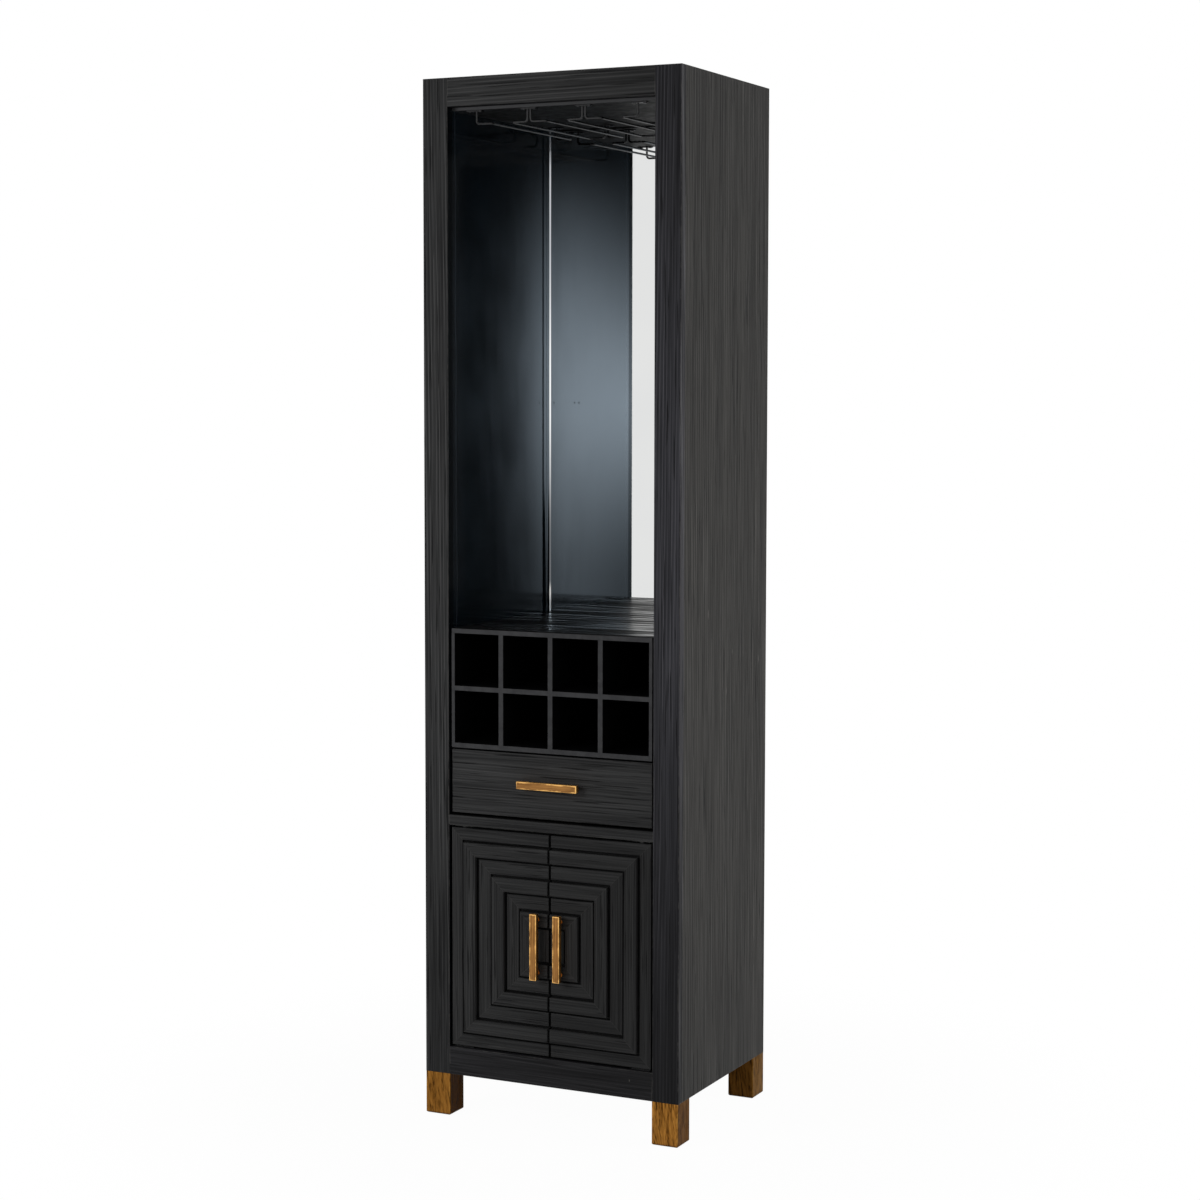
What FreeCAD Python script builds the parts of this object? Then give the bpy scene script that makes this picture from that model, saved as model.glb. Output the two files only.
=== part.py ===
import FreeCAD, Part
import os
from FreeCAD import Vector

os.makedirs("parts", exist_ok=True)

# Driving dimensions, in millimetres. +X is right, +Y is towards the back, +Z is up.
cabinet_width = 508.0
carcass_depth = 396.0
body_height = 1805.0
leg_side = 51.0
leg_height = 78.0
glide_height = 2.0

# Face frame
frame_thickness = 18.0
stile_width = 50.0
top_rail_height = 52.0
drawer_rail_height = 19.0
bottom_rail_height = 51.0
door_opening_height = 410.0
drawer_opening_height = 123.2
wood_ease = 1.2

# Boards of the carcass
panel_thickness = 18.0
lining_thickness = 12.0
ceiling_thickness = 15.0
ceiling_drop = 5.5
dust_panel_thickness = 12.0
back_thickness = 4.0
mirror_thickness = 3.0
mirror_side_gap = 1.5
mirror_top_gap = 1.0
batten_width = 45.0
pilot_hole_radius = 2.0
pilot_hole_depth = 5.0
pilot_hole_depth_shares = (0.628, 0.679, 0.904)
pilot_hole_height_share = 0.679

# Loose shelf in the cupboard
shelf_thickness = 15.0
shelf_rise = 191.0
shelf_setback = 26.0
shelf_clearance = 0.8
shelf_pin_radius = 2.5
shelf_pin_flat = 1.5
shelf_pin_in_wall = 9.0
shelf_pin_reach = 9.0
shelf_pin_inset = 50.0

# Bottle cubby
cubby_columns = 4
cubby_rows = 2
cell_height = 95.5
cubby_board = 8.5
cubby_divider = 9.0
cubby_side = 10.0
cubby_recess = 4.0
cubby_gap = 4.0
counter_edging_depth = 18.0
counter_edging_ease = 0.8

# Doors
door_gap = 4.2
door_meeting_gap = 4.0
door_recess = 3.0
door_panel_thickness = 14.0
flush_strip_thickness = 5.0
raised_strip_thickness = 10.5
centre_block_width = 26.6
centre_block_height = 59.2
outer_strip_trim = 2.8
strip_groove = 4.2
strip_count = 6
strip_ease = 1.2

# Door pivots
pivot_from_edge = 22.0
pivot_from_face = 12.0
pivot_pin_radius = 3.0
pivot_pin_length = 14.0
pivot_plate_length = 36.0
pivot_plate_width = 12.0
pivot_plate_thickness = 2.0
pivot_running_clearance = 0.08
bush_radius = 5.0
bush_flange_radius = 6.5
bush_depth = 14.0
bush_play = 0.3

# Bar pulls
pull_length = 120.0
pull_width = 13.5
pull_depth = 10.0
pull_standoff = 7.0
pull_post_radius = 4.0
pull_post_spacing = 96.0
pull_ease = 0.9
door_pull_offset = 23.0
drawer_pull_rise = 3.0

# Drawer
drawer_side_gap = 4.2
drawer_bottom_gap = 4.0
drawer_top_gap = 3.0
drawer_recess = 5.0
drawer_front_thickness = 18.0
drawer_board = 12.0
drawer_box_height = 90.0
drawer_box_depth = 340.0
drawer_box_lift = 6.0
drawer_bottom_thickness = 4.0
drawer_bottom_lift = 8.0
drawer_groove_depth = 5.0
drawer_groove_play = 0.15

# Ball-bearing slides
slide_space = 13.0
slide_length = 300.0
slide_setback = 24.0
slide_sheet = 1.2
slide_outer_height = 45.0
slide_race_play = 0.6
slide_outer_flange = 10.0
slide_middle_offset = 3.2
slide_middle_flange = 8.0
slide_inner_flange = 7.0
slide_screw_shares = (0.15, 0.5, 0.85)

# Stemware rack
wire_radius = 2.0
wire_bend = 6.0
wire_pair_gap = 2.0
slot_count = 3
slot_half_gap = 20.0
rack_side_gap = 42.0
rack_setback = 28.0
rack_rear_gap = 53.0
rack_drop = 24.0
rack_plate_length = 30.0
rack_plate_width = 10.0
rack_plate_thickness = 2.0

# Catches
catch_length = 32.0
catch_depth = 14.0
catch_height = 12.0
catch_offset = 30.0
catch_gap = 0.5
catch_web = 2.0
strike_length = 26.0
strike_height = 12.0
strike_thickness = 1.2
strike_from_top = 1.5

# Fasteners
screw_radius = 1.75
screw_head_radius = 3.5
screw_head_height = 1.2
screw_length = 11.0
front_screw_length = 20.0
front_screw_inset = 40.0
front_screw_rise = 22.0
machine_screw_radius = 2.0
machine_head_radius = 4.0
machine_head_height = 2.5
machine_screw_grip = 5.0
fastener_clearance = 0.15
dowel_radius = 4.0
frame_dowel_depth = 8.0
frame_dowel_length = 40.0
carcass_dowel_length = 24.0
rail_dowel_spacing = 26.0
bolt_radius = 4.0
bolt_in_leg = 40.0
bolt_in_block = 28.0
bolt_inset = 5.0
glide_radius = 11.0
glide_ease = 1.0
nail_radius = 1.25
nail_length = 14.0
leg_ease = 2.0
leg_foot_ease = 5.0

# Places worked out from the sizes above
half_width = cabinet_width / 2
opening_half = half_width - stile_width
panel_inner = half_width - panel_thickness
lining_outer = opening_half + lining_thickness
raised_proud = raised_strip_thickness - flush_strip_thickness - door_recess
front_reach = raised_proud + pull_standoff + pull_depth
face_y = (front_reach - carcass_depth) / 2
frame_back = face_y + frame_thickness
back_y = face_y + carcass_depth
back_panel_y = back_y - back_thickness
mirror_y = back_panel_y - mirror_thickness
base_z = leg_height + glide_height
floor_z = base_z + bottom_rail_height
door_top_z = floor_z + door_opening_height
rail_top_z = door_top_z + drawer_rail_height
cubby_z = rail_top_z + drawer_opening_height
counter_z = cubby_z + cubby_rows * cell_height + (cubby_rows + 1) * cubby_board
top_z = base_z + body_height
top_rail_z = top_z - top_rail_height
ceiling_z = top_rail_z - ceiling_drop
top_panel_z = top_z - panel_thickness
bottom_panel_z = floor_z - panel_thickness
door_centre_z = (floor_z + door_top_z) / 2
door_face_y = face_y + door_recess
door_panel_y = door_face_y + flush_strip_thickness
door_back_y = door_panel_y + door_panel_thickness
door_outer_x = opening_half - door_gap
door_inner_x = door_meeting_gap / 2
door_half_height = door_opening_height / 2 - door_gap
strip_pitch_across = (door_outer_x - door_inner_x - centre_block_width + outer_strip_trim) / strip_count
strip_pitch_up = (door_half_height - centre_block_height / 2 + outer_strip_trim) / strip_count
pivot_x = door_outer_x - pivot_from_edge
pivot_y = door_face_y + pivot_from_face
drawer_face_y = face_y + drawer_recess
drawer_back_y = drawer_face_y + drawer_front_thickness
drawer_low_z = rail_top_z + drawer_bottom_gap
drawer_high_z = cubby_z - drawer_top_gap
box_low_z = drawer_low_z + drawer_box_lift
box_high_z = box_low_z + drawer_box_height
box_outer_x = opening_half - slide_space
box_inner_x = box_outer_x - drawer_board
box_back_y = drawer_back_y + drawer_box_depth
slide_centre_z = (box_low_z + box_high_z) / 2
slide_y = face_y + slide_setback
slot_pitch = (opening_half + opening_half - rack_side_gap - rack_side_gap) / slot_count
rack_front_y = face_y + rack_setback
rack_rear_y = back_y - rack_rear_gap
rack_z = ceiling_z - rack_drop
shelf_z = floor_z + shelf_rise
plate_z = ceiling_z - rack_plate_thickness
same_place = 0.01
right_way = Vector(1, 0, 0)
up_way = Vector(0, 0, 1)
back_way = Vector(0, 1, 0)


def board(x_from, x_to, y_from, y_to, z_from, z_to):
    """A rectangular board between the given faces."""
    corner = Vector(x_from, y_from, z_from)
    return Part.makeBox(x_to - x_from, y_to - y_from, z_to - z_from, corner)


def rod(radius, start, direction, length):
    return Part.makeCylinder(radius, length, start, direction)


def mirrored(shape):
    """The same piece on the other side of the cabinet."""
    return shape.mirror(Vector(0, 0, 0), right_way)


def both_sides(shapes):
    return shapes + [mirrored(shape) for shape in shapes]


def drilled(shape, cutters):
    return shape.cut(Part.makeCompound(cutters)) if cutters else shape


def single(shape):
    """The one solid inside the result of a cut."""
    return shape.Solids[0]


def front_edges(shape):
    """Edges that lie in the piece's front plane."""
    front = shape.BoundBox.YMin
    return [edge for edge in shape.Edges if edge.BoundBox.YMax < front + same_place]


def eased_front(shape, radius):
    return shape.makeFillet(radius, front_edges(shape))


def upright_edges(shape):
    low = shape.BoundBox.ZMin + same_place
    high = shape.BoundBox.ZMax - same_place
    return [edge for edge in shape.Edges if edge.BoundBox.ZMin < low and edge.BoundBox.ZMax > high]


def write(node, solids):
    shape = solids[0] if len(solids) == 1 else Part.makeCompound(solids)
    shape.exportStep("parts/" + node + ".step")


def write_pair(name, shape):
    write(name + "_right", [shape])
    write(name + "_left", [mirrored(shape)])


def screw(head_seat, direction, length, radius=screw_radius,
          head_radius=screw_head_radius, head_height=screw_head_height):
    """A screw whose head sits on head_seat and whose shank runs along direction."""
    head = rod(head_radius, head_seat - direction * head_height, direction, head_height)
    return head.fuse(rod(radius, head_seat, direction, length)).removeSplitter()


def screw_hole(head_seat, direction, length, radius=screw_radius):
    return rod(radius + fastener_clearance, head_seat, direction, length + fastener_clearance)


# Legs, glides, hanger bolts and the corner blocks that the bolts screw into
def leg_centres():
    x = half_width - leg_side / 2
    return {
        "front_right": Vector(x, face_y + leg_side / 2, 0),
        "front_left": Vector(-x, face_y + leg_side / 2, 0),
        "rear_right": Vector(x, back_y - leg_side / 2, 0),
        "rear_left": Vector(-x, back_y - leg_side / 2, 0),
    }


def bolt_place(centre):
    """The bolt stands a little further in than the middle of its leg."""
    x = centre.x - bolt_inset if centre.x > 0 else centre.x + bolt_inset
    y = centre.y - bolt_inset if centre.y > 0 else centre.y + bolt_inset
    return Vector(x, y, base_z)


def make_leg(centre):
    half = leg_side / 2
    leg = board(centre.x - half, centre.x + half, centre.y - half, centre.y + half, glide_height, base_z)
    foot = leg.BoundBox.ZMin + same_place
    foot_edges = [edge for edge in leg.Edges if edge.BoundBox.ZMax < foot]
    across = [edge for edge in foot_edges if edge.BoundBox.XLength > same_place]
    along = [edge for edge in foot_edges if edge.BoundBox.YLength > same_place]
    eased = leg.makeFillet(leg_ease, upright_edges(leg))
    leg = eased.common(leg.makeFillet(leg_foot_ease, across)).common(leg.makeFillet(leg_foot_ease, along))
    place = bolt_place(centre)
    bolt_hole = rod(
        bolt_radius + fastener_clearance,
        Vector(place.x, place.y, base_z - bolt_in_leg - fastener_clearance),
        up_way,
        bolt_in_leg + fastener_clearance,
    )
    nail_hole = rod(
        nail_radius + fastener_clearance,
        Vector(centre.x, centre.y, glide_height),
        up_way,
        nail_length + fastener_clearance,
    )
    return single(drilled(leg, [bolt_hole, nail_hole]))


def make_glide(centre):
    foot = rod(glide_radius, Vector(centre.x, centre.y, 0), up_way, glide_height)
    rim = [edge for edge in foot.Edges if edge.BoundBox.ZMax < same_place]
    foot = foot.makeFillet(glide_ease, rim)
    nail = rod(nail_radius, Vector(centre.x, centre.y, glide_height), up_way, nail_length)
    return foot.fuse(nail).removeSplitter()


def make_corner_block(centre):
    """Fills the corner under the bottom panel, inside the frame and the side panel."""
    side = 1 if centre.x > 0 else -1
    x_ends = sorted([side * panel_inner, side * (panel_inner - batten_width)])
    front = centre.y < 0
    y_from = frame_back if front else back_panel_y - batten_width
    block = board(x_ends[0], x_ends[1], y_from, y_from + batten_width, base_z, bottom_panel_z)
    hole = rod(
        bolt_radius + fastener_clearance,
        bolt_place(centre),
        up_way,
        bolt_in_block + fastener_clearance,
    )
    return single(drilled(block, [hole]))


def make_leg_bolt(centre):
    start = bolt_place(centre) - up_way * bolt_in_leg
    return rod(bolt_radius, start, up_way, bolt_in_leg + bolt_in_block)


def write_base():
    centres = leg_centres()
    for place, centre in centres.items():
        write("leg_" + place, [make_leg(centre)])
    write("leg_glides", [make_glide(centre) for centre in centres.values()])
    write("leg_bolts", [make_leg_bolt(centre) for centre in centres.values()])
    write("corner_blocks", [make_corner_block(centre) for centre in centres.values()])


# Dowels that join the rails to the stiles, and the top and bottom to the side panels
def frame_dowel_places():
    """Centres of the right-hand frame dowels, on the joint between rail and stile."""
    y = face_y + frame_dowel_depth
    top_mid = (top_rail_z + top_z) / 2
    bottom_mid = (base_z + floor_z) / 2
    drawer_mid = (door_top_z + rail_top_z) / 2
    spread = rail_dowel_spacing / 2
    heights = [top_mid - spread, top_mid + spread, drawer_mid, bottom_mid - spread, bottom_mid + spread]
    return [Vector(opening_half, y, z) for z in heights]


def carcass_dowel_places():
    """Centres of the right-hand carcass dowels, on the inner face of the side panel."""
    heights = [top_panel_z + panel_thickness / 2, bottom_panel_z + panel_thickness / 2]
    depths = [frame_back + batten_width, (frame_back + back_panel_y) / 2, back_panel_y - batten_width]
    return [Vector(panel_inner, y, z) for z in heights for y in depths]


def dowel(centre, length, play=0.0):
    start = centre - right_way * (length / 2 + play)
    return rod(dowel_radius + play, start, right_way, length + play + play)


def dowel_holes(places, length):
    return both_sides([dowel(place, length, fastener_clearance) for place in places])


# Face frame
def write_frame():
    holes = dowel_holes(frame_dowel_places(), frame_dowel_length)
    plate_holes = [screw_hole(seat, -up_way, screw_length) for seat in pivot_screw_seats("bottom")]
    plate_holes += [screw_hole(seat, up_way, screw_length) for seat in pivot_screw_seats("top")]
    plate_holes = both_sides(plate_holes)
    stile = board(opening_half, half_width, face_y, frame_back, base_z, top_z)
    write_pair("stile", single(drilled(eased_front(stile, wood_ease), holes)))
    rails = {
        "top_rail": (top_rail_z, top_z),
        "drawer_rail": (door_top_z, rail_top_z),
        "bottom_rail": (base_z, floor_z),
    }
    for node, (low, high) in rails.items():
        rail = board(-opening_half, opening_half, face_y, frame_back, low, high)
        long_edges = [edge for edge in front_edges(rail) if edge.BoundBox.ZLength < same_place]
        rail = rail.makeFillet(wood_ease, long_edges)
        write(node, [single(drilled(rail, holes + plate_holes))])
    dowels = [dowel(place, frame_dowel_length) for place in frame_dowel_places()]
    dowels += [dowel(place, carcass_dowel_length) for place in carcass_dowel_places()]
    write("dowels", both_sides(dowels))


# Carcass boards
def write_carcass():
    holes = dowel_holes(carcass_dowel_places(), carcass_dowel_length)
    side = board(panel_inner, half_width, frame_back, back_y, base_z, top_z)
    rear_edge = [
        edge for edge in upright_edges(side)
        if edge.BoundBox.XMin > half_width - same_place and edge.BoundBox.YMin > back_y - same_place
    ]
    side = side.makeFillet(wood_ease, rear_edge)
    write_pair("side_panel", single(drilled(side, holes)))
    top = board(-panel_inner, panel_inner, frame_back, back_panel_y, top_panel_z, top_z)
    write("top_panel", [single(drilled(top, holes))])
    bottom = board(-panel_inner, panel_inner, frame_back, back_panel_y, bottom_panel_z, floor_z)
    write("bottom_panel", [single(drilled(bottom, holes))])
    back = board(-panel_inner, panel_inner, back_panel_y, back_y, base_z, top_z)
    write("back_panel", [back])
    lining = board(opening_half, lining_outer, frame_back, back_panel_y, floor_z, top_panel_z)
    wall_holes = [screw_hole(seat, right_way, screw_length) for seat in outer_slide_screw_seats()]
    wall_holes += pilot_holes() + shelf_pin_holes()
    write_pair("side_lining", single(drilled(lining, wall_holes)))
    batten_fronts = [frame_back, back_panel_y - batten_width]
    battens = [
        board(lining_outer, panel_inner, y, y + batten_width, floor_z, top_panel_z) for y in batten_fronts
    ]
    write("side_battens", both_sides(battens))
    ceiling = board(
        -opening_half, opening_half, frame_back, back_panel_y, ceiling_z, ceiling_z + ceiling_thickness
    )
    low_front = [edge for edge in front_edges(ceiling) if edge.BoundBox.ZMax < ceiling_z + same_place]
    ceiling = ceiling.makeFillet(wood_ease, low_front)
    rack_holes = [screw_hole(seat, up_way, screw_length) for seat in rack_screw_seats()]
    write("ceiling_panel", [single(drilled(ceiling, rack_holes))])
    mirror = board(
        mirror_side_gap - opening_half,
        opening_half - mirror_side_gap,
        mirror_y,
        back_panel_y,
        counter_z - cubby_board,
        ceiling_z - mirror_top_gap,
    )
    write("mirror", [mirror])
    dust = board(
        -opening_half, opening_half, frame_back, back_panel_y, door_top_z, door_top_z + dust_panel_thickness
    )
    dust_holes = both_sides([screw_hole(catch_screw_seat(), up_way, screw_length)])
    write("dust_panel", [single(drilled(dust, dust_holes))])


def pilot_holes():
    """Small blind holes in the walls of the upper bay."""
    z = base_z + pilot_hole_height_share * body_height
    depths = [face_y + share * carcass_depth for share in pilot_hole_depth_shares]
    return [rod(pilot_hole_radius, Vector(opening_half, y, z), right_way, pilot_hole_depth) for y in depths]


# Loose shelf of the cupboard and its four pins, flattened on top where the shelf lies on them
def shelf_pin_centres():
    front_y = frame_back + shelf_setback
    z = shelf_z - shelf_pin_flat
    return [Vector(opening_half, y, z) for y in (front_y + shelf_pin_inset, back_panel_y - shelf_pin_inset)]


def shelf_pin_holes():
    radius = shelf_pin_radius + fastener_clearance
    depth = shelf_pin_in_wall + fastener_clearance
    return [rod(radius, centre, right_way, depth) for centre in shelf_pin_centres()]


def make_shelf_pin(centre):
    start = centre - right_way * shelf_pin_reach
    pin = rod(shelf_pin_radius, start, right_way, shelf_pin_reach + shelf_pin_in_wall)
    above = board(
        start.x, centre.x,
        centre.y - shelf_pin_radius, centre.y + shelf_pin_radius,
        shelf_z, shelf_z + shelf_pin_radius,
    )
    return single(pin.cut(above))


def write_cupboard_shelf():
    half = opening_half - shelf_clearance
    low_y = frame_back + shelf_setback
    write("cupboard_shelf", [board(-half, half, low_y, back_panel_y, shelf_z, shelf_z + shelf_thickness)])
    write("shelf_pins", both_sides([make_shelf_pin(centre) for centre in shelf_pin_centres()]))


# Counter and the bottle cubby under it
def gap_notch(low, high):
    """The shadow gap between the cubby and the right-hand stile."""
    return board(opening_half - cubby_gap, opening_half, face_y, frame_back, low, high)


def make_cubby_floor():
    low, high = cubby_z, cubby_z + cubby_board
    plate = board(-opening_half, opening_half, face_y + cubby_recess, back_panel_y, low, high)
    return single(drilled(plate, both_sides([gap_notch(low, high)])))


def write_counter():
    low, high = counter_z - cubby_board, counter_z
    front_y = face_y + cubby_recess
    half = opening_half - cubby_gap
    seam_y = front_y + counter_edging_depth
    edging = eased_front(board(-half, half, front_y, seam_y, low, high), counter_edging_ease)
    write("counter_edging", [edging])
    write("counter_top", [board(-opening_half, opening_half, seam_y, mirror_y, low, high)])


def make_cubby_shelf(level, divider_places, half_depth_y):
    """One inner shelf, slotted from the front to let the dividers through."""
    low = cubby_z + level * (cell_height + cubby_board)
    inner = opening_half - cubby_side
    shelf = board(-inner, inner, face_y + cubby_recess, back_panel_y, low, low + cubby_board)
    slots = [
        board(x, x + cubby_divider, face_y, half_depth_y, low, low + cubby_board) for x in divider_places
    ]
    return single(drilled(shelf, slots))


def write_cubby():
    inner = opening_half - cubby_side
    cell_width = (inner + inner - (cubby_columns - 1) * cubby_divider) / cubby_columns
    pitch = cell_width + cubby_divider
    divider_places = [cell_width - inner + column * pitch for column in range(cubby_columns - 1)]
    half_depth_y = (face_y + cubby_recess + back_panel_y) / 2
    low = cubby_z + cubby_board
    high = counter_z - cubby_board
    side = board(inner, opening_half, face_y + cubby_recess, back_panel_y, low, high)
    write("cubby_sides", both_sides([single(drilled(side, [gap_notch(low, high)]))]))
    levels = range(1, cubby_rows)
    shelves = [make_cubby_shelf(level, divider_places, half_depth_y) for level in levels]
    write("cubby_boards", [make_cubby_floor()] + shelves)
    dividers = []
    for x in divider_places:
        upright = board(x, x + cubby_divider, face_y + cubby_recess, back_panel_y, low, high)
        slots = []
        for level in levels:
            level_z = cubby_z + level * (cell_height + cubby_board)
            slot = board(x, x + cubby_divider, half_depth_y, back_panel_y, level_z, level_z + cubby_board)
            slots.append(slot)
        dividers.append(single(drilled(upright, slots)))
    write("cubby_dividers", dividers)


# Stemware rack under the ceiling: bent wires in pairs, each pair one slot for the stems
def bent_wire(corners, bend):
    """A round wire along straight runs with a rounded elbow at every inner corner."""
    edges = []
    start = corners[0]
    for before, corner, after in zip(corners, corners[1:], corners[2:]):
        arriving = (corner - before).normalize()
        leaving = (after - corner).normalize()
        arc_start = corner - arriving * bend
        arc_end = corner + leaving * bend
        centre = corner - arriving * bend + leaving * bend
        arc_middle = centre + (corner - centre).normalize() * bend
        edges.append(Part.LineSegment(start, arc_start).toShape())
        edges.append(Part.Arc(arc_start, arc_middle, arc_end).toShape())
        start = arc_end
    edges.append(Part.LineSegment(start, corners[-1]).toShape())
    first_way = (corners[1] - corners[0]).normalize()
    ring = Part.Wire([Part.Circle(corners[0], first_way, wire_radius).toShape()])
    return Part.Wire(edges).makePipeShell([ring], True, False)


def slot_centres():
    return [(index - (slot_count - 1) / 2) * slot_pitch for index in range(slot_count)]


def post_places():
    """X of each hanging post, one more than the slots."""
    half = slot_pitch / 2
    return [slot_centres()[0] - half] + [x + half for x in slot_centres()]


def rack_wire(slot_x, side):
    """The wire on one side of a slot: down from the ceiling, inwards, back along the slot and up again."""
    post_x = slot_x + side * (slot_pitch / 2 - wire_radius - wire_pair_gap / 2)
    rail_x = slot_x + side * slot_half_gap
    corners = [
        Vector(post_x, rack_front_y, plate_z),
        Vector(post_x, rack_front_y, rack_z),
        Vector(rail_x, rack_front_y, rack_z),
        Vector(rail_x, rack_rear_y, rack_z),
        Vector(post_x, rack_rear_y, rack_z),
        Vector(post_x, rack_rear_y, plate_z),
    ]
    return bent_wire(corners, wire_bend)


def rack_screw_seats():
    offset = rack_plate_length / 2 - screw_head_radius - screw_head_height
    return [
        Vector(x + side * offset, y, plate_z)
        for x in post_places() for y in (rack_front_y, rack_rear_y) for side in (-1, 1)
    ]


def write_rack():
    for name, slot_x in zip(("left", "middle", "right"), slot_centres()):
        write("rack_wires_" + name, [rack_wire(slot_x, -1), rack_wire(slot_x, 1)])
    holes = [screw_hole(seat, up_way, rack_plate_thickness) for seat in rack_screw_seats()]
    half_length = rack_plate_length / 2
    half_width_of_plate = rack_plate_width / 2
    plates = []
    for x in post_places():
        for y in (rack_front_y, rack_rear_y):
            plate = board(
                x - half_length, x + half_length,
                y - half_width_of_plate, y + half_width_of_plate,
                plate_z, ceiling_z,
            )
            plates.append(single(drilled(plate, holes)))
    write("rack_plates", plates)


# Bar pull: a square bar on two round posts, standing out towards -Y from the face that carries it
def make_pull(place, upright):
    """The bar and its two posts, turned on end for a door."""
    half = pull_length / 2
    low_y = -pull_standoff - pull_depth
    bar = board(-half, half, low_y, -pull_standoff, -pull_width / 2, pull_width / 2)
    bar = bar.makeChamfer(pull_ease, bar.Edges)
    if upright:
        bar.rotate(Vector(0, 0, 0), back_way, 90)
    bar.translate(place)
    posts = []
    for centre in post_centres(place, upright):
        post = rod(pull_post_radius, centre, -back_way, pull_standoff)
        posts.append(post.cut(screw_hole(centre, -back_way, machine_screw_grip, machine_screw_radius)))
    return [bar] + posts


def post_centres(place, upright):
    along = up_way if upright else right_way
    return [place + along * (side * pull_post_spacing / 2) for side in (-1, 1)]


def pull_screws(place, upright, grip):
    """Machine screws from behind, through a thickness of grip, into the pull's posts."""
    seats = [centre + back_way * grip for centre in post_centres(place, upright)]
    length = grip + machine_screw_grip
    return [
        screw(seat, -back_way, length, machine_screw_radius, machine_head_radius, machine_head_height)
        for seat in seats
    ]


def pull_screw_holes(place, upright, grip):
    return [
        rod(machine_screw_radius + fastener_clearance, centre, back_way, grip)
        for centre in post_centres(place, upright)
    ]


# Doors. The right-hand door is drawn and the left-hand one is its mirror image.
def door_pull_place():
    return Vector(door_pull_offset, face_y - raised_proud, door_centre_z)


def door_pull_grip():
    return raised_strip_thickness + door_panel_thickness


def prism(points, thickness):
    """A flat outline in X and Z, drawn on the door panel's front and standing out of it by thickness."""
    corners = [Vector(x, door_panel_y, door_centre_z + z) for x, z in points]
    outline = Part.makePolygon(corners + [corners[0]])
    return Part.Face(outline).extrude(-back_way * thickness)


def long_front_edges(shape, mitres):
    """Front edges of a strip, without the mitred ones, which meet the next strip."""
    chosen = []
    for edge in front_edges(shape):
        box = edge.BoundBox
        slanted = box.XLength > same_place and box.ZLength > same_place
        if not (mitres and slanted):
            chosen.append(edge)
    return chosen


def ring_inset(index, pitch):
    """How far a square lies inside the door's edge. The outermost strip is the narrow one."""
    return index * pitch - outer_strip_trim if index > 0 else 0.0


def door_strip_ring(index):
    """The three mitred strips of one square: top, outer side and bottom."""
    thickness = flush_strip_thickness if index % 2 == 0 else raised_strip_thickness
    out_x = door_outer_x - ring_inset(index, strip_pitch_across)
    out_z = door_half_height - ring_inset(index, strip_pitch_up)
    in_x = door_outer_x - ring_inset(index + 1, strip_pitch_across) + strip_groove
    in_z = door_half_height - ring_inset(index + 1, strip_pitch_up) + strip_groove
    top = [(door_inner_x, in_z), (in_x, in_z), (out_x, out_z), (door_inner_x, out_z)]
    outer = [(in_x, -in_z), (out_x, -out_z), (out_x, out_z), (in_x, in_z)]
    bottom = [(x, -z) for x, z in top]
    strips = []
    for points in (top, outer, bottom):
        strip = prism(points, thickness)
        strips.append(strip.makeFillet(strip_ease, long_front_edges(strip, True)))
    return strips


def door_centre_block():
    out_x = door_inner_x + centre_block_width
    out_z = centre_block_height / 2
    points = [(door_inner_x, -out_z), (out_x, -out_z), (out_x, out_z), (door_inner_x, out_z)]
    block = prism(points, flush_strip_thickness)
    return block.makeFillet(strip_ease, long_front_edges(block, False))


def bush_places():
    """Where each bush meets the door's edge, with the direction into the door."""
    return [
        (Vector(pivot_x, pivot_y, door_centre_z - door_half_height), up_way),
        (Vector(pivot_x, pivot_y, door_centre_z + door_half_height), -up_way),
    ]


def make_bush(edge_point, inwards):
    flange_height = door_gap - pivot_plate_thickness - bush_play
    flange = rod(bush_flange_radius, edge_point - inwards * flange_height, inwards, flange_height)
    body = rod(bush_radius, edge_point, inwards, bush_depth)
    bore = rod(
        pivot_pin_radius + pivot_running_clearance,
        edge_point - inwards * flange_height,
        inwards,
        bush_depth + flange_height,
    )
    return single(flange.fuse(body).removeSplitter().cut(bore))


def strike_seat_z():
    return door_centre_z + door_half_height - strike_from_top - strike_height / 2


def make_strike():
    half = strike_length / 2
    z = strike_seat_z()
    return board(
        catch_offset - half, catch_offset + half,
        door_back_y, door_back_y + strike_thickness,
        z - strike_height / 2, z + strike_height / 2,
    )


def write_doors():
    place = door_pull_place()
    grip = door_pull_grip()
    holes = pull_screw_holes(place, True, grip)
    bush_holes = [
        rod(bush_radius + fastener_clearance, point, inwards, bush_depth + fastener_clearance)
        for point, inwards in bush_places()
    ]
    panel = board(
        door_inner_x, door_outer_x, door_panel_y, door_back_y,
        door_centre_z - door_half_height, door_centre_z + door_half_height,
    )
    panel = single(drilled(panel, holes + bush_holes))
    flush = [strip for index in range(0, strip_count, 2) for strip in door_strip_ring(index)]
    flush.append(door_centre_block())
    raised = [strip for index in range(1, strip_count, 2) for strip in door_strip_ring(index)]
    raised = [single(drilled(strip, holes)) for strip in raised]
    pieces = {
        "panel": [panel],
        "flush_strips": flush,
        "raised_strips": raised,
        "pull": make_pull(place, True),
        "pull_screws": pull_screws(place, True, grip),
        "fittings": [make_bush(point, inwards) for point, inwards in bush_places()] + [make_strike()],
    }
    for name, solids in pieces.items():
        write("right_door_" + name, solids)
        write("left_door_" + name, [mirrored(solid) for solid in solids])


# Pivot plates on the frame, each with its pin, and the magnetic catches
def pivot_seats():
    """Where each plate lies on its rail, with the direction towards the door."""
    return {
        "bottom": (Vector(pivot_x, pivot_y, floor_z), up_way),
        "top": (Vector(pivot_x, pivot_y, door_top_z), -up_way),
    }


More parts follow.
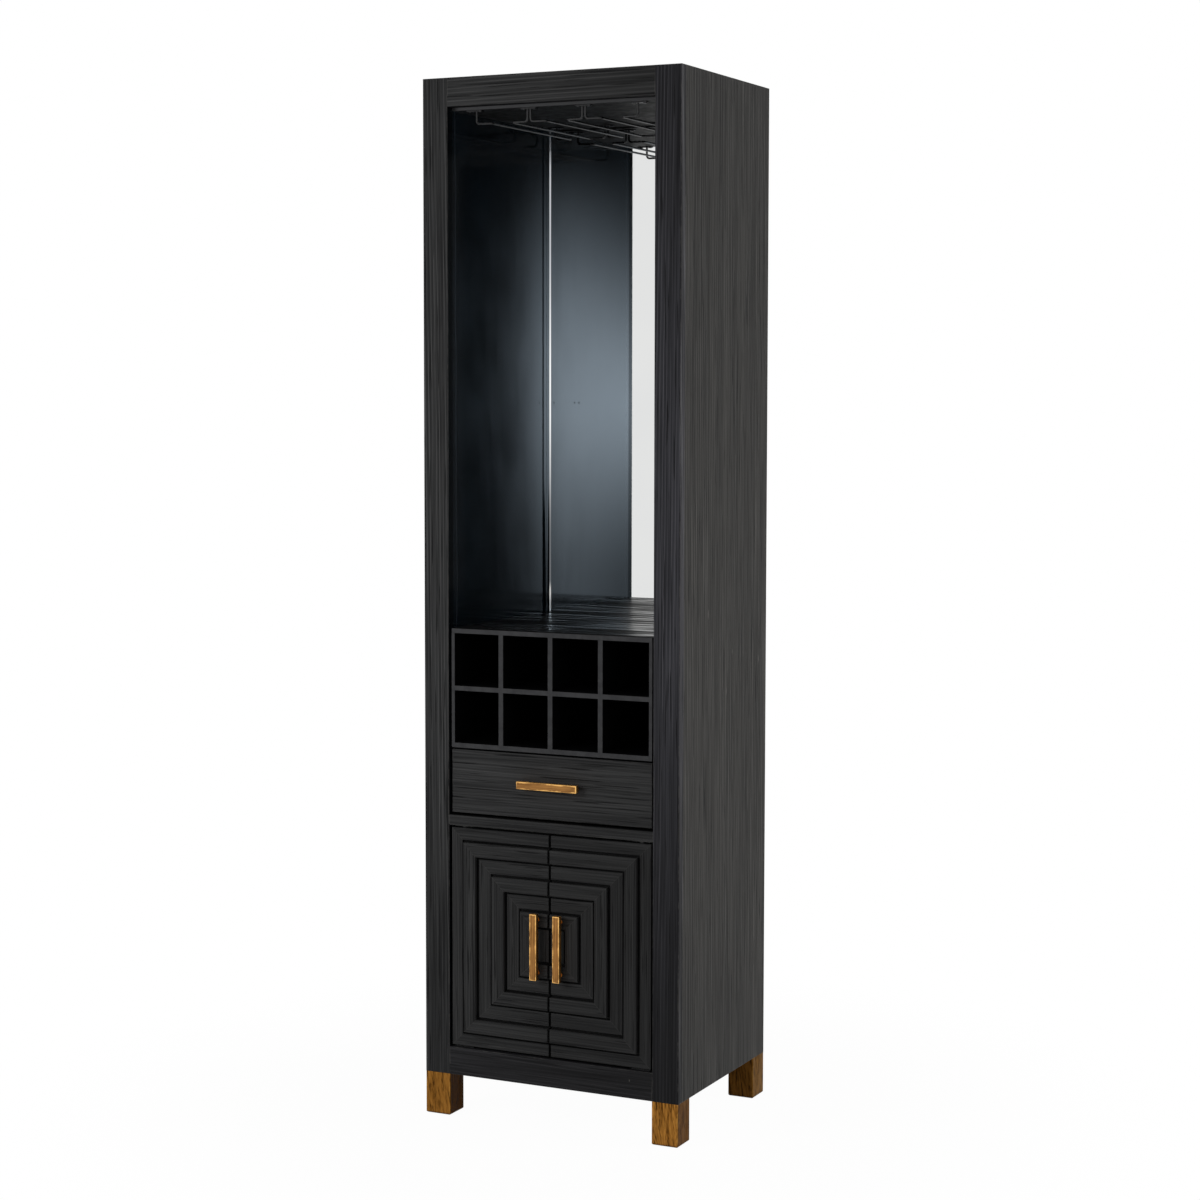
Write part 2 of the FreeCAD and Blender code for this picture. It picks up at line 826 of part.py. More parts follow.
def pivot_screw_seats(end):
    """Seats of the right-hand screws of one plate, on the plate's face."""
    seat, towards_door = pivot_seats()[end]
    offset = pivot_plate_length / 2 - screw_head_radius - screw_head_height
    face = seat + towards_door * pivot_plate_thickness
    return [face + right_way * (side * offset) for side in (-1, 1)]


def make_pivot_plate(end):
    seat, towards_door = pivot_seats()[end]
    half_length = pivot_plate_length / 2
    half_depth = pivot_plate_width / 2
    far = seat + towards_door * pivot_plate_thickness
    low, high = sorted([seat.z, far.z])
    plate = board(
        seat.x - half_length, seat.x + half_length, seat.y - half_depth, seat.y + half_depth, low, high
    )
    pin = rod(pivot_pin_radius, far, towards_door, pivot_pin_length)
    holes = [screw_hole(place, -towards_door, pivot_plate_thickness) for place in pivot_screw_seats(end)]
    return single(drilled(plate.fuse(pin).removeSplitter(), holes))


def catch_front_y():
    return door_back_y + strike_thickness + catch_gap


def catch_screw_seat():
    """Where the screw's head sits, inside the right-hand catch."""
    return Vector(catch_offset, catch_front_y() + catch_depth / 2, door_top_z - catch_web)


def make_catch():
    half = catch_length / 2
    y = catch_front_y()
    body = board(
        catch_offset - half, catch_offset + half, y, y + catch_depth, door_top_z - catch_height, door_top_z
    )
    seat = catch_screw_seat()
    recess = rod(screw_head_radius + fastener_clearance, seat, -up_way, catch_height)
    return single(drilled(body, [recess, screw_hole(seat, up_way, catch_web)]))


# Drawer slides: outer member on the lining, middle member, inner member on the drawer
def channel(web_x, reach, half_height, way):
    """A C-channel with its web at web_x, its flanges reaching by reach along way."""
    low, high = slide_centre_z - half_height, slide_centre_z + half_height
    near, far = sorted([web_x, web_x + way * reach])
    whole = board(near, far, slide_y, slide_y + slide_length, low, high)
    near, far = sorted([web_x + way * slide_sheet, web_x + way * reach])
    hollow = board(near, far, slide_y, slide_y + slide_length, low + slide_sheet, high - slide_sheet)
    return whole.cut(hollow)


def slide_levels():
    """Half heights of the outer, middle and inner members, nested with play for the balls."""
    outer = slide_outer_height / 2
    step = slide_sheet + slide_race_play
    return outer, outer - step, outer - step - step


def slide_screw_depths():
    return [slide_y + share * slide_length for share in slide_screw_shares]


def outer_slide_screw_seats():
    return [Vector(opening_half - slide_sheet, y, slide_centre_z) for y in slide_screw_depths()]


def inner_slide_screw_seats():
    return [Vector(box_outer_x + slide_sheet, y, slide_centre_z) for y in slide_screw_depths()]


def write_slides():
    outer_half, middle_half, inner_half = slide_levels()
    outer = channel(opening_half, slide_outer_flange, outer_half, -1)
    holes = [screw_hole(seat, right_way, slide_sheet) for seat in outer_slide_screw_seats()]
    write("slide_outer_members", both_sides([single(drilled(outer, holes))]))
    middle = channel(opening_half - slide_middle_offset, slide_middle_flange, middle_half, -1)
    write("slide_middle_members", both_sides([single(middle)]))
    inner = channel(box_outer_x, slide_inner_flange, inner_half, 1)
    holes = [screw_hole(seat, -right_way, slide_sheet) for seat in inner_slide_screw_seats()]
    write("slide_inner_members", both_sides([single(drilled(inner, holes))]))


# Drawer box, its front and its fasteners
def drawer_pull_place():
    return Vector(0, drawer_face_y, (drawer_low_z + drawer_high_z) / 2 + drawer_pull_rise)


def front_screw_seats():
    y = drawer_back_y + drawer_board
    x = box_inner_x - front_screw_inset
    heights = [slide_centre_z - front_screw_rise, slide_centre_z + front_screw_rise]
    return [Vector(side * x, y, z) for side in (-1, 1) for z in heights]


def drawer_bottom_board(play=0.0):
    """The bottom board, or with no play the groove that holds it in the sides and ends."""
    reach = box_inner_x + drawer_groove_depth - play
    low = box_low_z + drawer_bottom_lift
    front_y = drawer_back_y + drawer_board - drawer_groove_depth
    rear_y = box_back_y - drawer_board + drawer_groove_depth
    top = low + drawer_bottom_thickness
    return board(-reach, reach, front_y + play, rear_y - play, low + play, top - play)


def write_drawer():
    place = drawer_pull_place()
    grip = drawer_front_thickness + drawer_board
    pull_holes = pull_screw_holes(place, False, grip)
    front_holes = [screw_hole(seat, -back_way, front_screw_length) for seat in front_screw_seats()]
    front_half = opening_half - drawer_side_gap
    front = board(-front_half, front_half, drawer_face_y, drawer_back_y, drawer_low_z, drawer_high_z)
    front = eased_front(front, wood_ease)
    write("drawer_front", [single(drilled(front, pull_holes + front_holes))])
    groove = drawer_bottom_board()
    near_end = board(
        -box_inner_x, box_inner_x, drawer_back_y, drawer_back_y + drawer_board, box_low_z, box_high_z
    )
    far_end = board(-box_inner_x, box_inner_x, box_back_y - drawer_board, box_back_y, box_low_z, box_high_z)
    near_end = single(drilled(near_end, pull_holes + front_holes + [groove]))
    write("drawer_box_ends", [near_end, single(drilled(far_end, [groove]))])
    side = board(box_inner_x, box_outer_x, drawer_back_y, box_back_y, box_low_z, box_high_z)
    side_holes = [
        screw_hole(seat, -right_way, slide_sheet + inner_screw_length()) for seat in inner_slide_screw_seats()
    ]
    write("drawer_sides", both_sides([single(drilled(side, side_holes + [groove]))]))
    write("drawer_bottom", [drawer_bottom_board(drawer_groove_play)])
    write("drawer_pull", make_pull(place, False))
    screws = pull_screws(place, False, grip)
    screws += [screw(seat, -back_way, front_screw_length) for seat in front_screw_seats()]
    screws += both_sides([
        screw(seat, -right_way, slide_sheet + inner_screw_length()) for seat in inner_slide_screw_seats()
    ])
    write("drawer_screws", screws)


def inner_screw_length():
    """Keeps the slide screws short of the drawer side's inner face."""
    return drawer_board - screw_head_height


def write_cabinet_hardware():
    write("pivot_plates", both_sides([make_pivot_plate("bottom"), make_pivot_plate("top")]))
    write("door_catches", both_sides([make_catch()]))
    screws = [screw(seat, up_way, screw_length) for seat in rack_screw_seats()]
    screws += both_sides([screw(seat, -up_way, screw_length) for seat in pivot_screw_seats("bottom")])
    screws += both_sides([screw(seat, up_way, screw_length) for seat in pivot_screw_seats("top")])
    screws += both_sides([screw(seat, right_way, screw_length) for seat in outer_slide_screw_seats()])
    screws += both_sides([screw(catch_screw_seat(), up_way, screw_length)])
    write("wood_screws", screws)


write_base()
write_frame()
write_carcass()
write_cupboard_shelf()
write_counter()
write_cubby()
write_rack()
write_doors()
write_slides()
write_drawer()
write_cabinet_hardware()
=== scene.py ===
import math

import bmesh
import bpy
from mathutils import Matrix, Vector


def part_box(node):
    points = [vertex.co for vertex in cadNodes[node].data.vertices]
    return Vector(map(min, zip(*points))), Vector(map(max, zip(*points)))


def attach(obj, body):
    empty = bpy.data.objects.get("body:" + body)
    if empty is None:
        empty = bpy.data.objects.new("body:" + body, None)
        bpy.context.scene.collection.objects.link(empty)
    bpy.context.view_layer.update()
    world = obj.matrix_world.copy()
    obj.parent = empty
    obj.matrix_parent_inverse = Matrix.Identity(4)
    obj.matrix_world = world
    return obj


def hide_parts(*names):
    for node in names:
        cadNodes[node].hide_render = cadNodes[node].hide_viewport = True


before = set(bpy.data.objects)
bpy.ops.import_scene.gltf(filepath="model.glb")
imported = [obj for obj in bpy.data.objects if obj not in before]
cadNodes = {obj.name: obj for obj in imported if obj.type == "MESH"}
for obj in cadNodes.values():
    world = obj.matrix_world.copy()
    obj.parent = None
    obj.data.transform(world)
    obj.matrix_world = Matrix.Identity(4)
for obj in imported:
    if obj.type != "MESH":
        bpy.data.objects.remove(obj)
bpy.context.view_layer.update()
print("cabinet loaded:", len(cadNodes), "nodes")

# Camera
cameraSettings = {
    "place": (2.00723, -4.10758, 1.32523),
    "turnLeft": 25.94249,  # degrees
    "tiltDown": 4.06578,
    "roll": 0.08744,
    "lens": 74.78183,
    "sensor": 36.0,
    "shiftUp": -0.025,
}


def addCamera(settings):
    data = bpy.data.cameras.new("studioCamera")
    data.sensor_width = settings["sensor"]
    data.lens = settings["lens"]
    data.shift_y = settings["shiftUp"]
    camera = bpy.data.objects.new("studioCamera", data)
    bpy.context.scene.collection.objects.link(camera)
    turn = Matrix.Rotation(math.radians(settings["turnLeft"]), 4, "Z")
    tilt = Matrix.Rotation(math.radians(90.0 - settings["tiltDown"]), 4, "X")
    roll = Matrix.Rotation(math.radians(settings["roll"]), 4, "Z")
    camera.matrix_world = Matrix.Translation(settings["place"]) @ turn @ tilt @ roll
    bpy.context.scene.camera = camera


addCamera(cameraSettings)
bpy.context.scene.view_settings.view_transform = "Standard"
print("camera ready")


# Short ways to make shader nodes. A value that is a socket is linked, and any other is set.
def put(tree, kind, values=None, **options):
    made = tree.nodes.new("ShaderNode" + kind)
    for key, value in options.items():
        setattr(made, key, value)
    for key, value in (values or {}).items():
        if isinstance(value, bpy.types.NodeSocket):
            tree.links.new(value, made.inputs[key])
        else:
            made.inputs[key].default_value = value
    return made


def sums(tree, operation, *values):
    return put(tree, "Math", dict(enumerate(values)), operation=operation).outputs[0]


def vectors(tree, operation, *values):
    made = put(tree, "VectorMath", dict(enumerate(values)), operation=operation)
    return made.outputs["Value" if operation == "LENGTH" else "Vector"]


def scaled(tree, vector, size):
    return put(tree, "VectorMath", {0: vector, "Scale": size}, operation="SCALE").outputs[0]


def split(tree, vector):
    return put(tree, "SeparateXYZ", {0: vector}).outputs


def ramp(tree, value, low, high, lowOut=0.0, highOut=1.0):
    values = {"Value": value, "From Min": low, "From Max": high, "To Min": lowOut, "To Max": highOut}
    return put(tree, "MapRange", values, interpolation_type="SMOOTHSTEP").outputs["Result"]


def tint(tree, share, first, second):  # 6 and 7 are the colour sockets of the node
    return put(tree, "Mix", {0: share, 6: first, 7: second}, data_type="RGBA").outputs[2]


def noise(tree, vector, scale=1.0, detail=2.0, rough=0.5, output="Fac"):
    values = {"Vector": vector, "Scale": scale, "Detail": detail, "Roughness": rough}
    return put(tree, "TexNoise", values).outputs[output]


def stretchedNoise(tree, vector, stretch, detail=2.0, rough=0.5, output="Fac"):
    return noise(tree, vectors(tree, "MULTIPLY", vector, stretch), 1.0, detail, rough, output)


noiseRange = (0.3, 0.7)  # noise gathers around a half
cloudy = (3.0, 0.6)  # detail and roughness of the noise of clouds and streaks


def spread(tree, value):
    return ramp(tree, value, *noiseRange)


def newGroup(name, inputs, outputs):
    tree = bpy.data.node_groups.new(name, "ShaderNodeTree")
    for label, kind, value in inputs:
        socket = tree.interface.new_socket(name=label, in_out="INPUT", socket_type="NodeSocket" + kind)
        socket.default_value = value
    for label, kind in outputs:
        tree.interface.new_socket(name=label, in_out="OUTPUT", socket_type="NodeSocket" + kind)
    inside = tree.nodes.new("NodeGroupInput").outputs
    out = tree.nodes.new("NodeGroupOutput").inputs
    return tree, inside, out


def useGroup(tree, group, values):
    return put(tree, "Group", values, node_tree=group).outputs


def newMaterial(name, preview):
    material = bpy.data.materials.new(name)
    material.use_nodes = True
    material.diffuse_color = preview
    tree = material.node_tree
    tree.nodes.clear()
    shader = put(tree, "BsdfPrincipled")
    put(tree, "OutputMaterial", {"Surface": shader.outputs[0]})
    place = put(tree, "TexCoord").outputs["Object"]
    return material, tree, shader, place


def plainSockets(shader, values):
    for key, value in values.items():
        shader.inputs[key].default_value = value


def feed(tree, shader, colour, roughness=None, height=None, relief=None):  # relief is strength and depth
    tree.links.new(colour, shader.inputs["Base Color"])
    if roughness is not None:
        tree.links.new(roughness, shader.inputs["Roughness"])
    if height is not None:
        bump = put(tree, "Bump", {"Strength": relief[0], "Distance": relief[1], "Height": height})
        tree.links.new(bump.outputs["Normal"], shader.inputs["Normal"])


def finishNodes(names, material):
    for name in names:
        target = cadNodes[name].data.materials
        target.clear()
        target.append(material)


def boxMiddle(node):
    low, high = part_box(node)
    return (low + high) / 2, (high - low) / 2


def reorder(tree, vector, order):  # order names what becomes across, through and along
    parts = split(tree, vector)
    values = {index: parts[axis] for index, axis in enumerate(order)}
    return put(tree, "CombineXYZ", values).outputs[0]


def fromMiddle(tree, place, middle):
    return vectors(tree, "SUBTRACT", place, tuple(middle))


# Growth rings, fibres, dark checks and broad tone of a pine board.
# X runs across the board, Y through it and Z along its grain, from the board's middle.
grainSettings = {
    "driftStretch": (6.0, 6.0, 1.3), "taper": 0.012,  # the rings wander, and slant along the board
    "lateRise": (0.45, 0.68), "lateFall": (0.82, 1.0),  # where in a ring its dark wood comes and goes
    "strengthStretch": (75.0, 75.0, 1.8), "strengthRange": (0.38, 0.62), "weakest": 0.1,
    "fibreStretch": (330.0, 330.0, 4.0), "fibreDetail": (2.0, 0.6), "fibreRange": (0.36, 0.64),
    "checkStretch": (300.0, 300.0, 8.0), "checkDetail": (1.0, 0.5), "checkRange": (0.63, 0.71),
    "toneStretch": (34.0, 34.0, 1.3), "toneDetail": (4.0, 0.6), "toneRange": (0.30, 0.70),
}


def makePineGrain(settings):
    tree, inside, out = newGroup(
        "pineGrain",
        [("Vector", "Vector", (0.0, 0.0, 0.0)), ("Seed", "Float", 0.0), ("Pith", "Vector", (0.0, 0.06, 0.0)),
         ("Ring Pitch", "Float", 0.004), ("Wander", "Float", 0.012)],
        [("Rings", "Float"), ("Fibres", "Float"), ("Checks", "Float"), ("Tone", "Float")],
    )
    shift = put(tree, "CombineXYZ", {0: inside["Seed"], 1: inside["Seed"], 2: inside["Seed"]}).outputs[0]
    spot = vectors(tree, "ADD", inside["Vector"], shift)
    drift = stretchedNoise(tree, spot, settings["driftStretch"], output="Color")
    drift = scaled(tree, vectors(tree, "SUBTRACT", drift, (0.5, 0.5, 0.5)), inside["Wander"])
    core = vectors(tree, "ADD", vectors(tree, "ADD", inside["Vector"], drift), inside["Pith"])
    radius = vectors(tree, "LENGTH", vectors(tree, "MULTIPLY", core, (1.0, 1.0, 0.0)))
    radius = sums(tree, "MULTIPLY_ADD", split(tree, inside["Vector"])["Z"], settings["taper"], radius)
    turn = sums(tree, "FRACT", sums(tree, "DIVIDE", radius, inside["Ring Pitch"]))
    late = sums(tree, "MULTIPLY", ramp(tree, turn, *settings["lateRise"]),
                ramp(tree, turn, *settings["lateFall"], 1.0, 0.0))
    strength = stretchedNoise(tree, spot, settings["strengthStretch"])
    late = sums(tree, "MULTIPLY", late, ramp(tree, strength, *settings["strengthRange"], settings["weakest"], 1.0))
    fibres = stretchedNoise(tree, spot, settings["fibreStretch"], *settings["fibreDetail"])
    checks = stretchedNoise(tree, spot, settings["checkStretch"], *settings["checkDetail"])
    lightAndStain = stretchedNoise(tree, spot, settings["toneStretch"], *settings["toneDetail"])
    tree.links.new(late, out["Rings"])
    tree.links.new(ramp(tree, fibres, *settings["fibreRange"]), out["Fibres"])
    tree.links.new(ramp(tree, checks, *settings["checkRange"]), out["Checks"])
    tree.links.new(ramp(tree, lightAndStain, *settings["toneRange"]), out["Tone"])
    return tree


# How close a point on a box-shaped board lies to one of its edges, broken up like rubbed paint. It marks
# rubbed edges, and painted highlights where edges catch the light.
rubAndSheenSettings = {
    "patchScale": 55.0, "patchRange": (0.35, 0.7), "reachShares": (0.25, 1.5),  # shares of the width
    "fadeStart": 0.3, "lossRange": (0.4, 0.6),
}


def makeEdgeRubAndSheen(settings):
    tree, inside, out = newGroup(
        "edgeRubAndSheen",
        [("Vector", "Vector", (0.0, 0.0, 0.0)), ("Half Size", "Vector", (0.1, 0.1, 0.1)),
         ("Width", "Float", 0.002), ("Patchiness", "Float", 0.5)],
        [("Mask", "Float")],
    )
    size = vectors(tree, "ABSOLUTE", inside["Vector"])
    gap = split(tree, vectors(tree, "SUBTRACT", inside["Half Size"], size))
    low = sums(tree, "MINIMUM", gap["X"], gap["Y"])
    high = sums(tree, "MAXIMUM", gap["X"], gap["Y"])
    second = sums(tree, "MAXIMUM", low, sums(tree, "MINIMUM", high, gap["Z"]))  # second smallest gap
    patches = noise(tree, inside["Vector"], settings["patchScale"], *cloudy)
    reach = ramp(tree, patches, *settings["patchRange"], *settings["reachShares"])
    reach = sums(tree, "MULTIPLY", inside["Width"], reach)
    mask = ramp(tree, sums(tree, "DIVIDE", second, reach), settings["fadeStart"], 1.0, 1.0, 0.0)
    loss = ramp(tree, patches, *settings["lossRange"], 1.0, 0.0)
    loss = sums(tree, "MULTIPLY", inside["Patchiness"], loss)
    tree.links.new(sums(tree, "MULTIPLY", mask, sums(tree, "SUBTRACT", 1.0, loss)), out["Mask"])
    return tree


pineGrain = makePineGrain(grainSettings)
edgeRubAndSheen = makeEdgeRubAndSheen(rubAndSheenSettings)
print("shader groups ready")

# Black stained pine with brushed grain, one finish for each board
blackPine = {
    "dark": (0.0078, 0.0078, 0.0082, 1.0),
    "light": (0.066, 0.066, 0.066, 1.0),
    # near black, for dark checks in the wood and for painted shade in gaps and grooves
    "checkAndShade": (0.0018, 0.0018, 0.0020, 1.0), "checkShare": 0.85,
    # pale edges: partly rubbed paint, partly a painted highlight where the eased edges catch the light
    "rubbedAndSheen": (0.085, 0.082, 0.078, 1.0), "rubAndSheenWidth": 0.0016, "rubAndSheenShare": 0.4,
    "toneShare": 0.24, "fibreShare": 0.28, "ringShare": 0.48, "ringMean": 0.25,
    "gloss": 0.13,
    "roughLow": 0.46, "roughHigh": 0.66,
    "relief": (0.9, 0.0009), "ringRelief": 0.6, "fibreRelief": 0.4, "checkRelief": 0.8,
    # the face that a stile turns to the bay, dark as painted shade, with a satin finish: reach from its plane,
    # and where it starts behind the front
    "satinShade": (0.005, 0.007, 0.009, 1.0), "satinRough": 0.10, "satinReach": 0.0004, "satinStart": (0.0008, 0.0016),
    # painted shade in the gaps: the undersides and tops of these boards turn black
    "shadeUnder": ("top_rail", "drawer_front"), "shadeTop": ("drawer_rail", "drawer_front"),
    "shadeReach": (0.0003, 0.0012),  # how far the painted shade of an underside or a top runs on to the face
    # order of axes (across, through, along), seed, place of the tree's middle, ring pitch, strength of the
    # rings, tint, which is partly painted shade, and shade at one end, the middle and the other end, which is
    # partly uneven stain and partly painted light and shade
    "boards": {
        "stile_left": ("XYZ", 1.3, (0.11, 0.03, 0.0), 0.0068, 1.0, (1.0, 1.0, 1.0), (0.95, 1.08, 0.92)),
        "stile_right": ("XYZ", 5.1, (-0.12, 0.03, 0.0), 0.0064, 1.0, (0.95, 0.94, 1.06), (0.26, 1.50, 0.78)),
        "top_rail": ("ZYX", 2.2, (-0.10, 0.04, 0.0), 0.0070, 0.8, (1.0, 1.0, 1.0), (1.08, 0.93, 0.72)),
        "drawer_rail": ("ZYX", 7.4, (0.08, 0.04, 0.0), 0.0055, 0.4, (1.0, 1.0, 1.0), (1.0, 0.9, 0.8)),
        "bottom_rail": ("ZYX", 3.6, (0.10, 0.04, 0.0), 0.0066, 0.6, (0.91, 0.89, 0.96), (0.64, 0.50, 0.40)),
        "side_panel_left": ("YXZ", 4.9, (0.26, -0.14, 0.0), 0.0072, 0.5, (1.03, 1.0, 0.93), (0.95, 1.0, 0.95)),
        "side_panel_right": ("YXZ", 6.3, (0.27, 0.12, 0.0), 0.0070, 0.5, (1.03, 1.0, 0.94), (0.90, 1.0, 0.80)),
        "top_panel": ("YZX", 8.8, (0.25, 0.15, 0.0), 0.0075, 0.5, (1.0, 1.0, 1.0), (1.0, 1.0, 1.0)),
        "drawer_front": ("ZYX", 9.5, (0.16, 0.05, 0.0), 0.0050, 0.35, (1.0, 1.0, 1.0), (1.20, 1.05, 0.92)),
    },
    # pale marks left by knots and nails: place, radius
    "marks": {
        "bottom_rail": (((0.1597, -0.1883, 0.1123), 0.0022),),
        "side_panel_right": (((0.254, -0.0648, 0.9333), 0.007), ((0.254, 0.0457, 0.8574), 0.005),
                             ((0.254, 0.171, 0.8328), 0.006), ((0.254, 0.0181, 0.7879), 0.008)),
    },
    "markColour": (0.11, 0.105, 0.098, 1.0), "markStretch": (1.0, 2.2, 0.55),
    "markRagged": 0.5, "markCore": 0.4, "markShare": 0.7,  # the first two are shares of the radius
}


def stainAndLightColour(tree, grain, settings, lightAndStain, strength):
    plain = settings["ringMean"] * settings["ringShare"] * (1.0 - strength)  # keeps calm boards as pale as others
    shade = sums(tree, "MULTIPLY_ADD", grain["Fibres"], settings["fibreShare"], plain)
    shade = sums(tree, "MULTIPLY_ADD", grain["Tone"], settings["toneShare"], shade)
    shade = sums(tree, "MULTIPLY_ADD", grain["Rings"], settings["ringShare"] * strength, shade)
    # scaled by painted light and shade that the caller gives
    colour = scaled(tree, tint(tree, shade, settings["dark"], settings["light"]), lightAndStain)
    return tint(tree, sums(tree, "MULTIPLY", grain["Checks"], settings["checkShare"]), colour, settings["checkAndShade"])


def stainRelief(tree, grain, settings, strength):
    height = sums(tree, "MULTIPLY", grain["Fibres"], settings["fibreRelief"])
    height = sums(tree, "MULTIPLY_ADD", grain["Rings"], settings["ringRelief"] * strength, height)
    rough = ramp(tree, height, 0.0, 1.0, settings["roughHigh"], settings["roughLow"])
    checks = sums(tree, "MULTIPLY", grain["Checks"], settings["checkRelief"])
    return sums(tree, "SUBTRACT", height, checks), rough


def finishBlackBoard(node, settings, order, seed, pith, pitch, strength, tintAndShade, ends):
    middle, half = boxMiddle(node)
    front = middle.y - half.y
    material, tree, shader, place = newMaterial("blackPine_" + node, settings["dark"])
    parts = split(tree, place)
    local = fromMiddle(tree, place, middle)
    grain = useGroup(tree, pineGrain, {
        "Vector": reorder(tree, local, order), "Seed": seed, "Pith": pith, "Ring Pitch": pitch})
    rubAndSheen = useGroup(tree, edgeRubAndSheen, {
        "Vector": local, "Half Size": tuple(half), "Width": settings["rubAndSheenWidth"]})["Mask"]
    along = split(tree, local)[order[2]]
    reach = half["XYZ".index(order[2])]
    # brightness along the board: partly uneven stain, partly painted light and shade
    lightAndStain = sums(tree, "ADD", ramp(tree, along, -reach, 0.0, ends[0] - ends[1], 0.0),
                ramp(tree, along, 0.0, reach, ends[1], ends[2]))
    colour = stainAndLightColour(tree, grain, settings, lightAndStain, strength)
    # the tint is partly the board's own colour and partly painted light and shade
    colour = vectors(tree, "MULTIPLY", colour, tintAndShade)
    # pale edges, partly rubbed and partly a painted highlight
    colour = tint(tree, sums(tree, "MULTIPLY", rubAndSheen, settings["rubAndSheenShare"]), colour, settings["rubbedAndSheen"])
    for spot, radius in settings["marks"].get(node, ()):
        away = vectors(tree, "MULTIPLY", fromMiddle(tree, place, spot), settings["markStretch"])
        away = vectors(tree, "LENGTH", away)
        ragged = sums(tree, "MULTIPLY_ADD", grain["Fibres"], radius * settings["markRagged"], away)
        mark = ramp(tree, ragged, radius * settings["markCore"], radius, settings["markShare"], 0.0)
        colour = tint(tree, mark, colour, settings["markColour"])
    height, rough = stainRelief(tree, grain, settings, strength)
    # painted shade on the face a stile turns to the bay, which also gets a satin finish
    if node.startswith("stile"):
        inner = min(abs(middle.x - half.x), abs(middle.x + half.x)) + settings["satinReach"]
        near, far = (front + start for start in settings["satinStart"])
        satinShade = sums(tree, "LESS_THAN", sums(tree, "ABSOLUTE", parts["X"]), inner)
        satinShade = sums(tree, "MULTIPLY", satinShade, ramp(tree, parts["Y"], near, far))
        others = sums(tree, "SUBTRACT", 1.0, satinShade)
        colour = tint(tree, satinShade, colour, settings["satinShade"])
        rough = sums(tree, "MULTIPLY_ADD", satinShade, settings["satinRough"], sums(tree, "MULTIPLY", rough, others))
        height = sums(tree, "MULTIPLY", height, others)
    # painted shade in the gaps below and above these boards
    for boards, level in ((settings["shadeUnder"], middle.z - half.z), (settings["shadeTop"], middle.z + half.z)):
        if node in boards:
            away = sums(tree, "ABSOLUTE", sums(tree, "SUBTRACT", parts["Z"], level))
            colour = tint(tree, ramp(tree, away, *settings["shadeReach"], 1.0, 0.0), colour, settings["checkAndShade"])
    plainSockets(shader, {"Specular IOR Level": settings["gloss"]})
    feed(tree, shader, colour, rough, height, settings["relief"])
    finishNodes([node], material)


for board, values in blackPine["boards"].items():
    finishBlackBoard(board, blackPine, *values)
print("frame, sides and drawer front finished")

# Door strips: each strip's grain follows the strip, turned at the mitres
doorSettings = {
    "middle": (0.0, -0.1853, 0.336),  # between the doors, in the plane of the flush strips
    "halfHeight": 0.2008,
    "trim": 0.0028,  # the outermost strip is narrower by this
    "pitch": 0.029,
    "blockHalf": 0.030,  # the middle block, whose grain stands up
    # a painted highlight along the mitres, where the joints catch the light: shift, width and share
    "mitreShift": 0.001, "mitreWidth": 0.0007, "mitreShare": 0.35,
    "ringPitch": 0.0048, "ringStrength": 0.32, "pith": (0.42, 0.05, 0.0),
    "firstSeed": 0.8, "stripSeed": 3.7, "levelSeed": 1.9,  # strips, and level lengths, differ in grain
    # painted light: the doors darken from the left door's outer side to the right door's
    "halfWidth": 0.2, "shade": (0.84, 0.60),  # from the left door's outer side to the right door's
    "grooveStart": -0.1852, "grooveDeep": -0.1838, "panelFace": -0.1802, "panelClear": -0.1790,
    "grooveShadeShare": 0.85,  # how dark the painted shade in the grooves is
    "pieces": ("panel", "flush_strips", "raised_strips"),
}


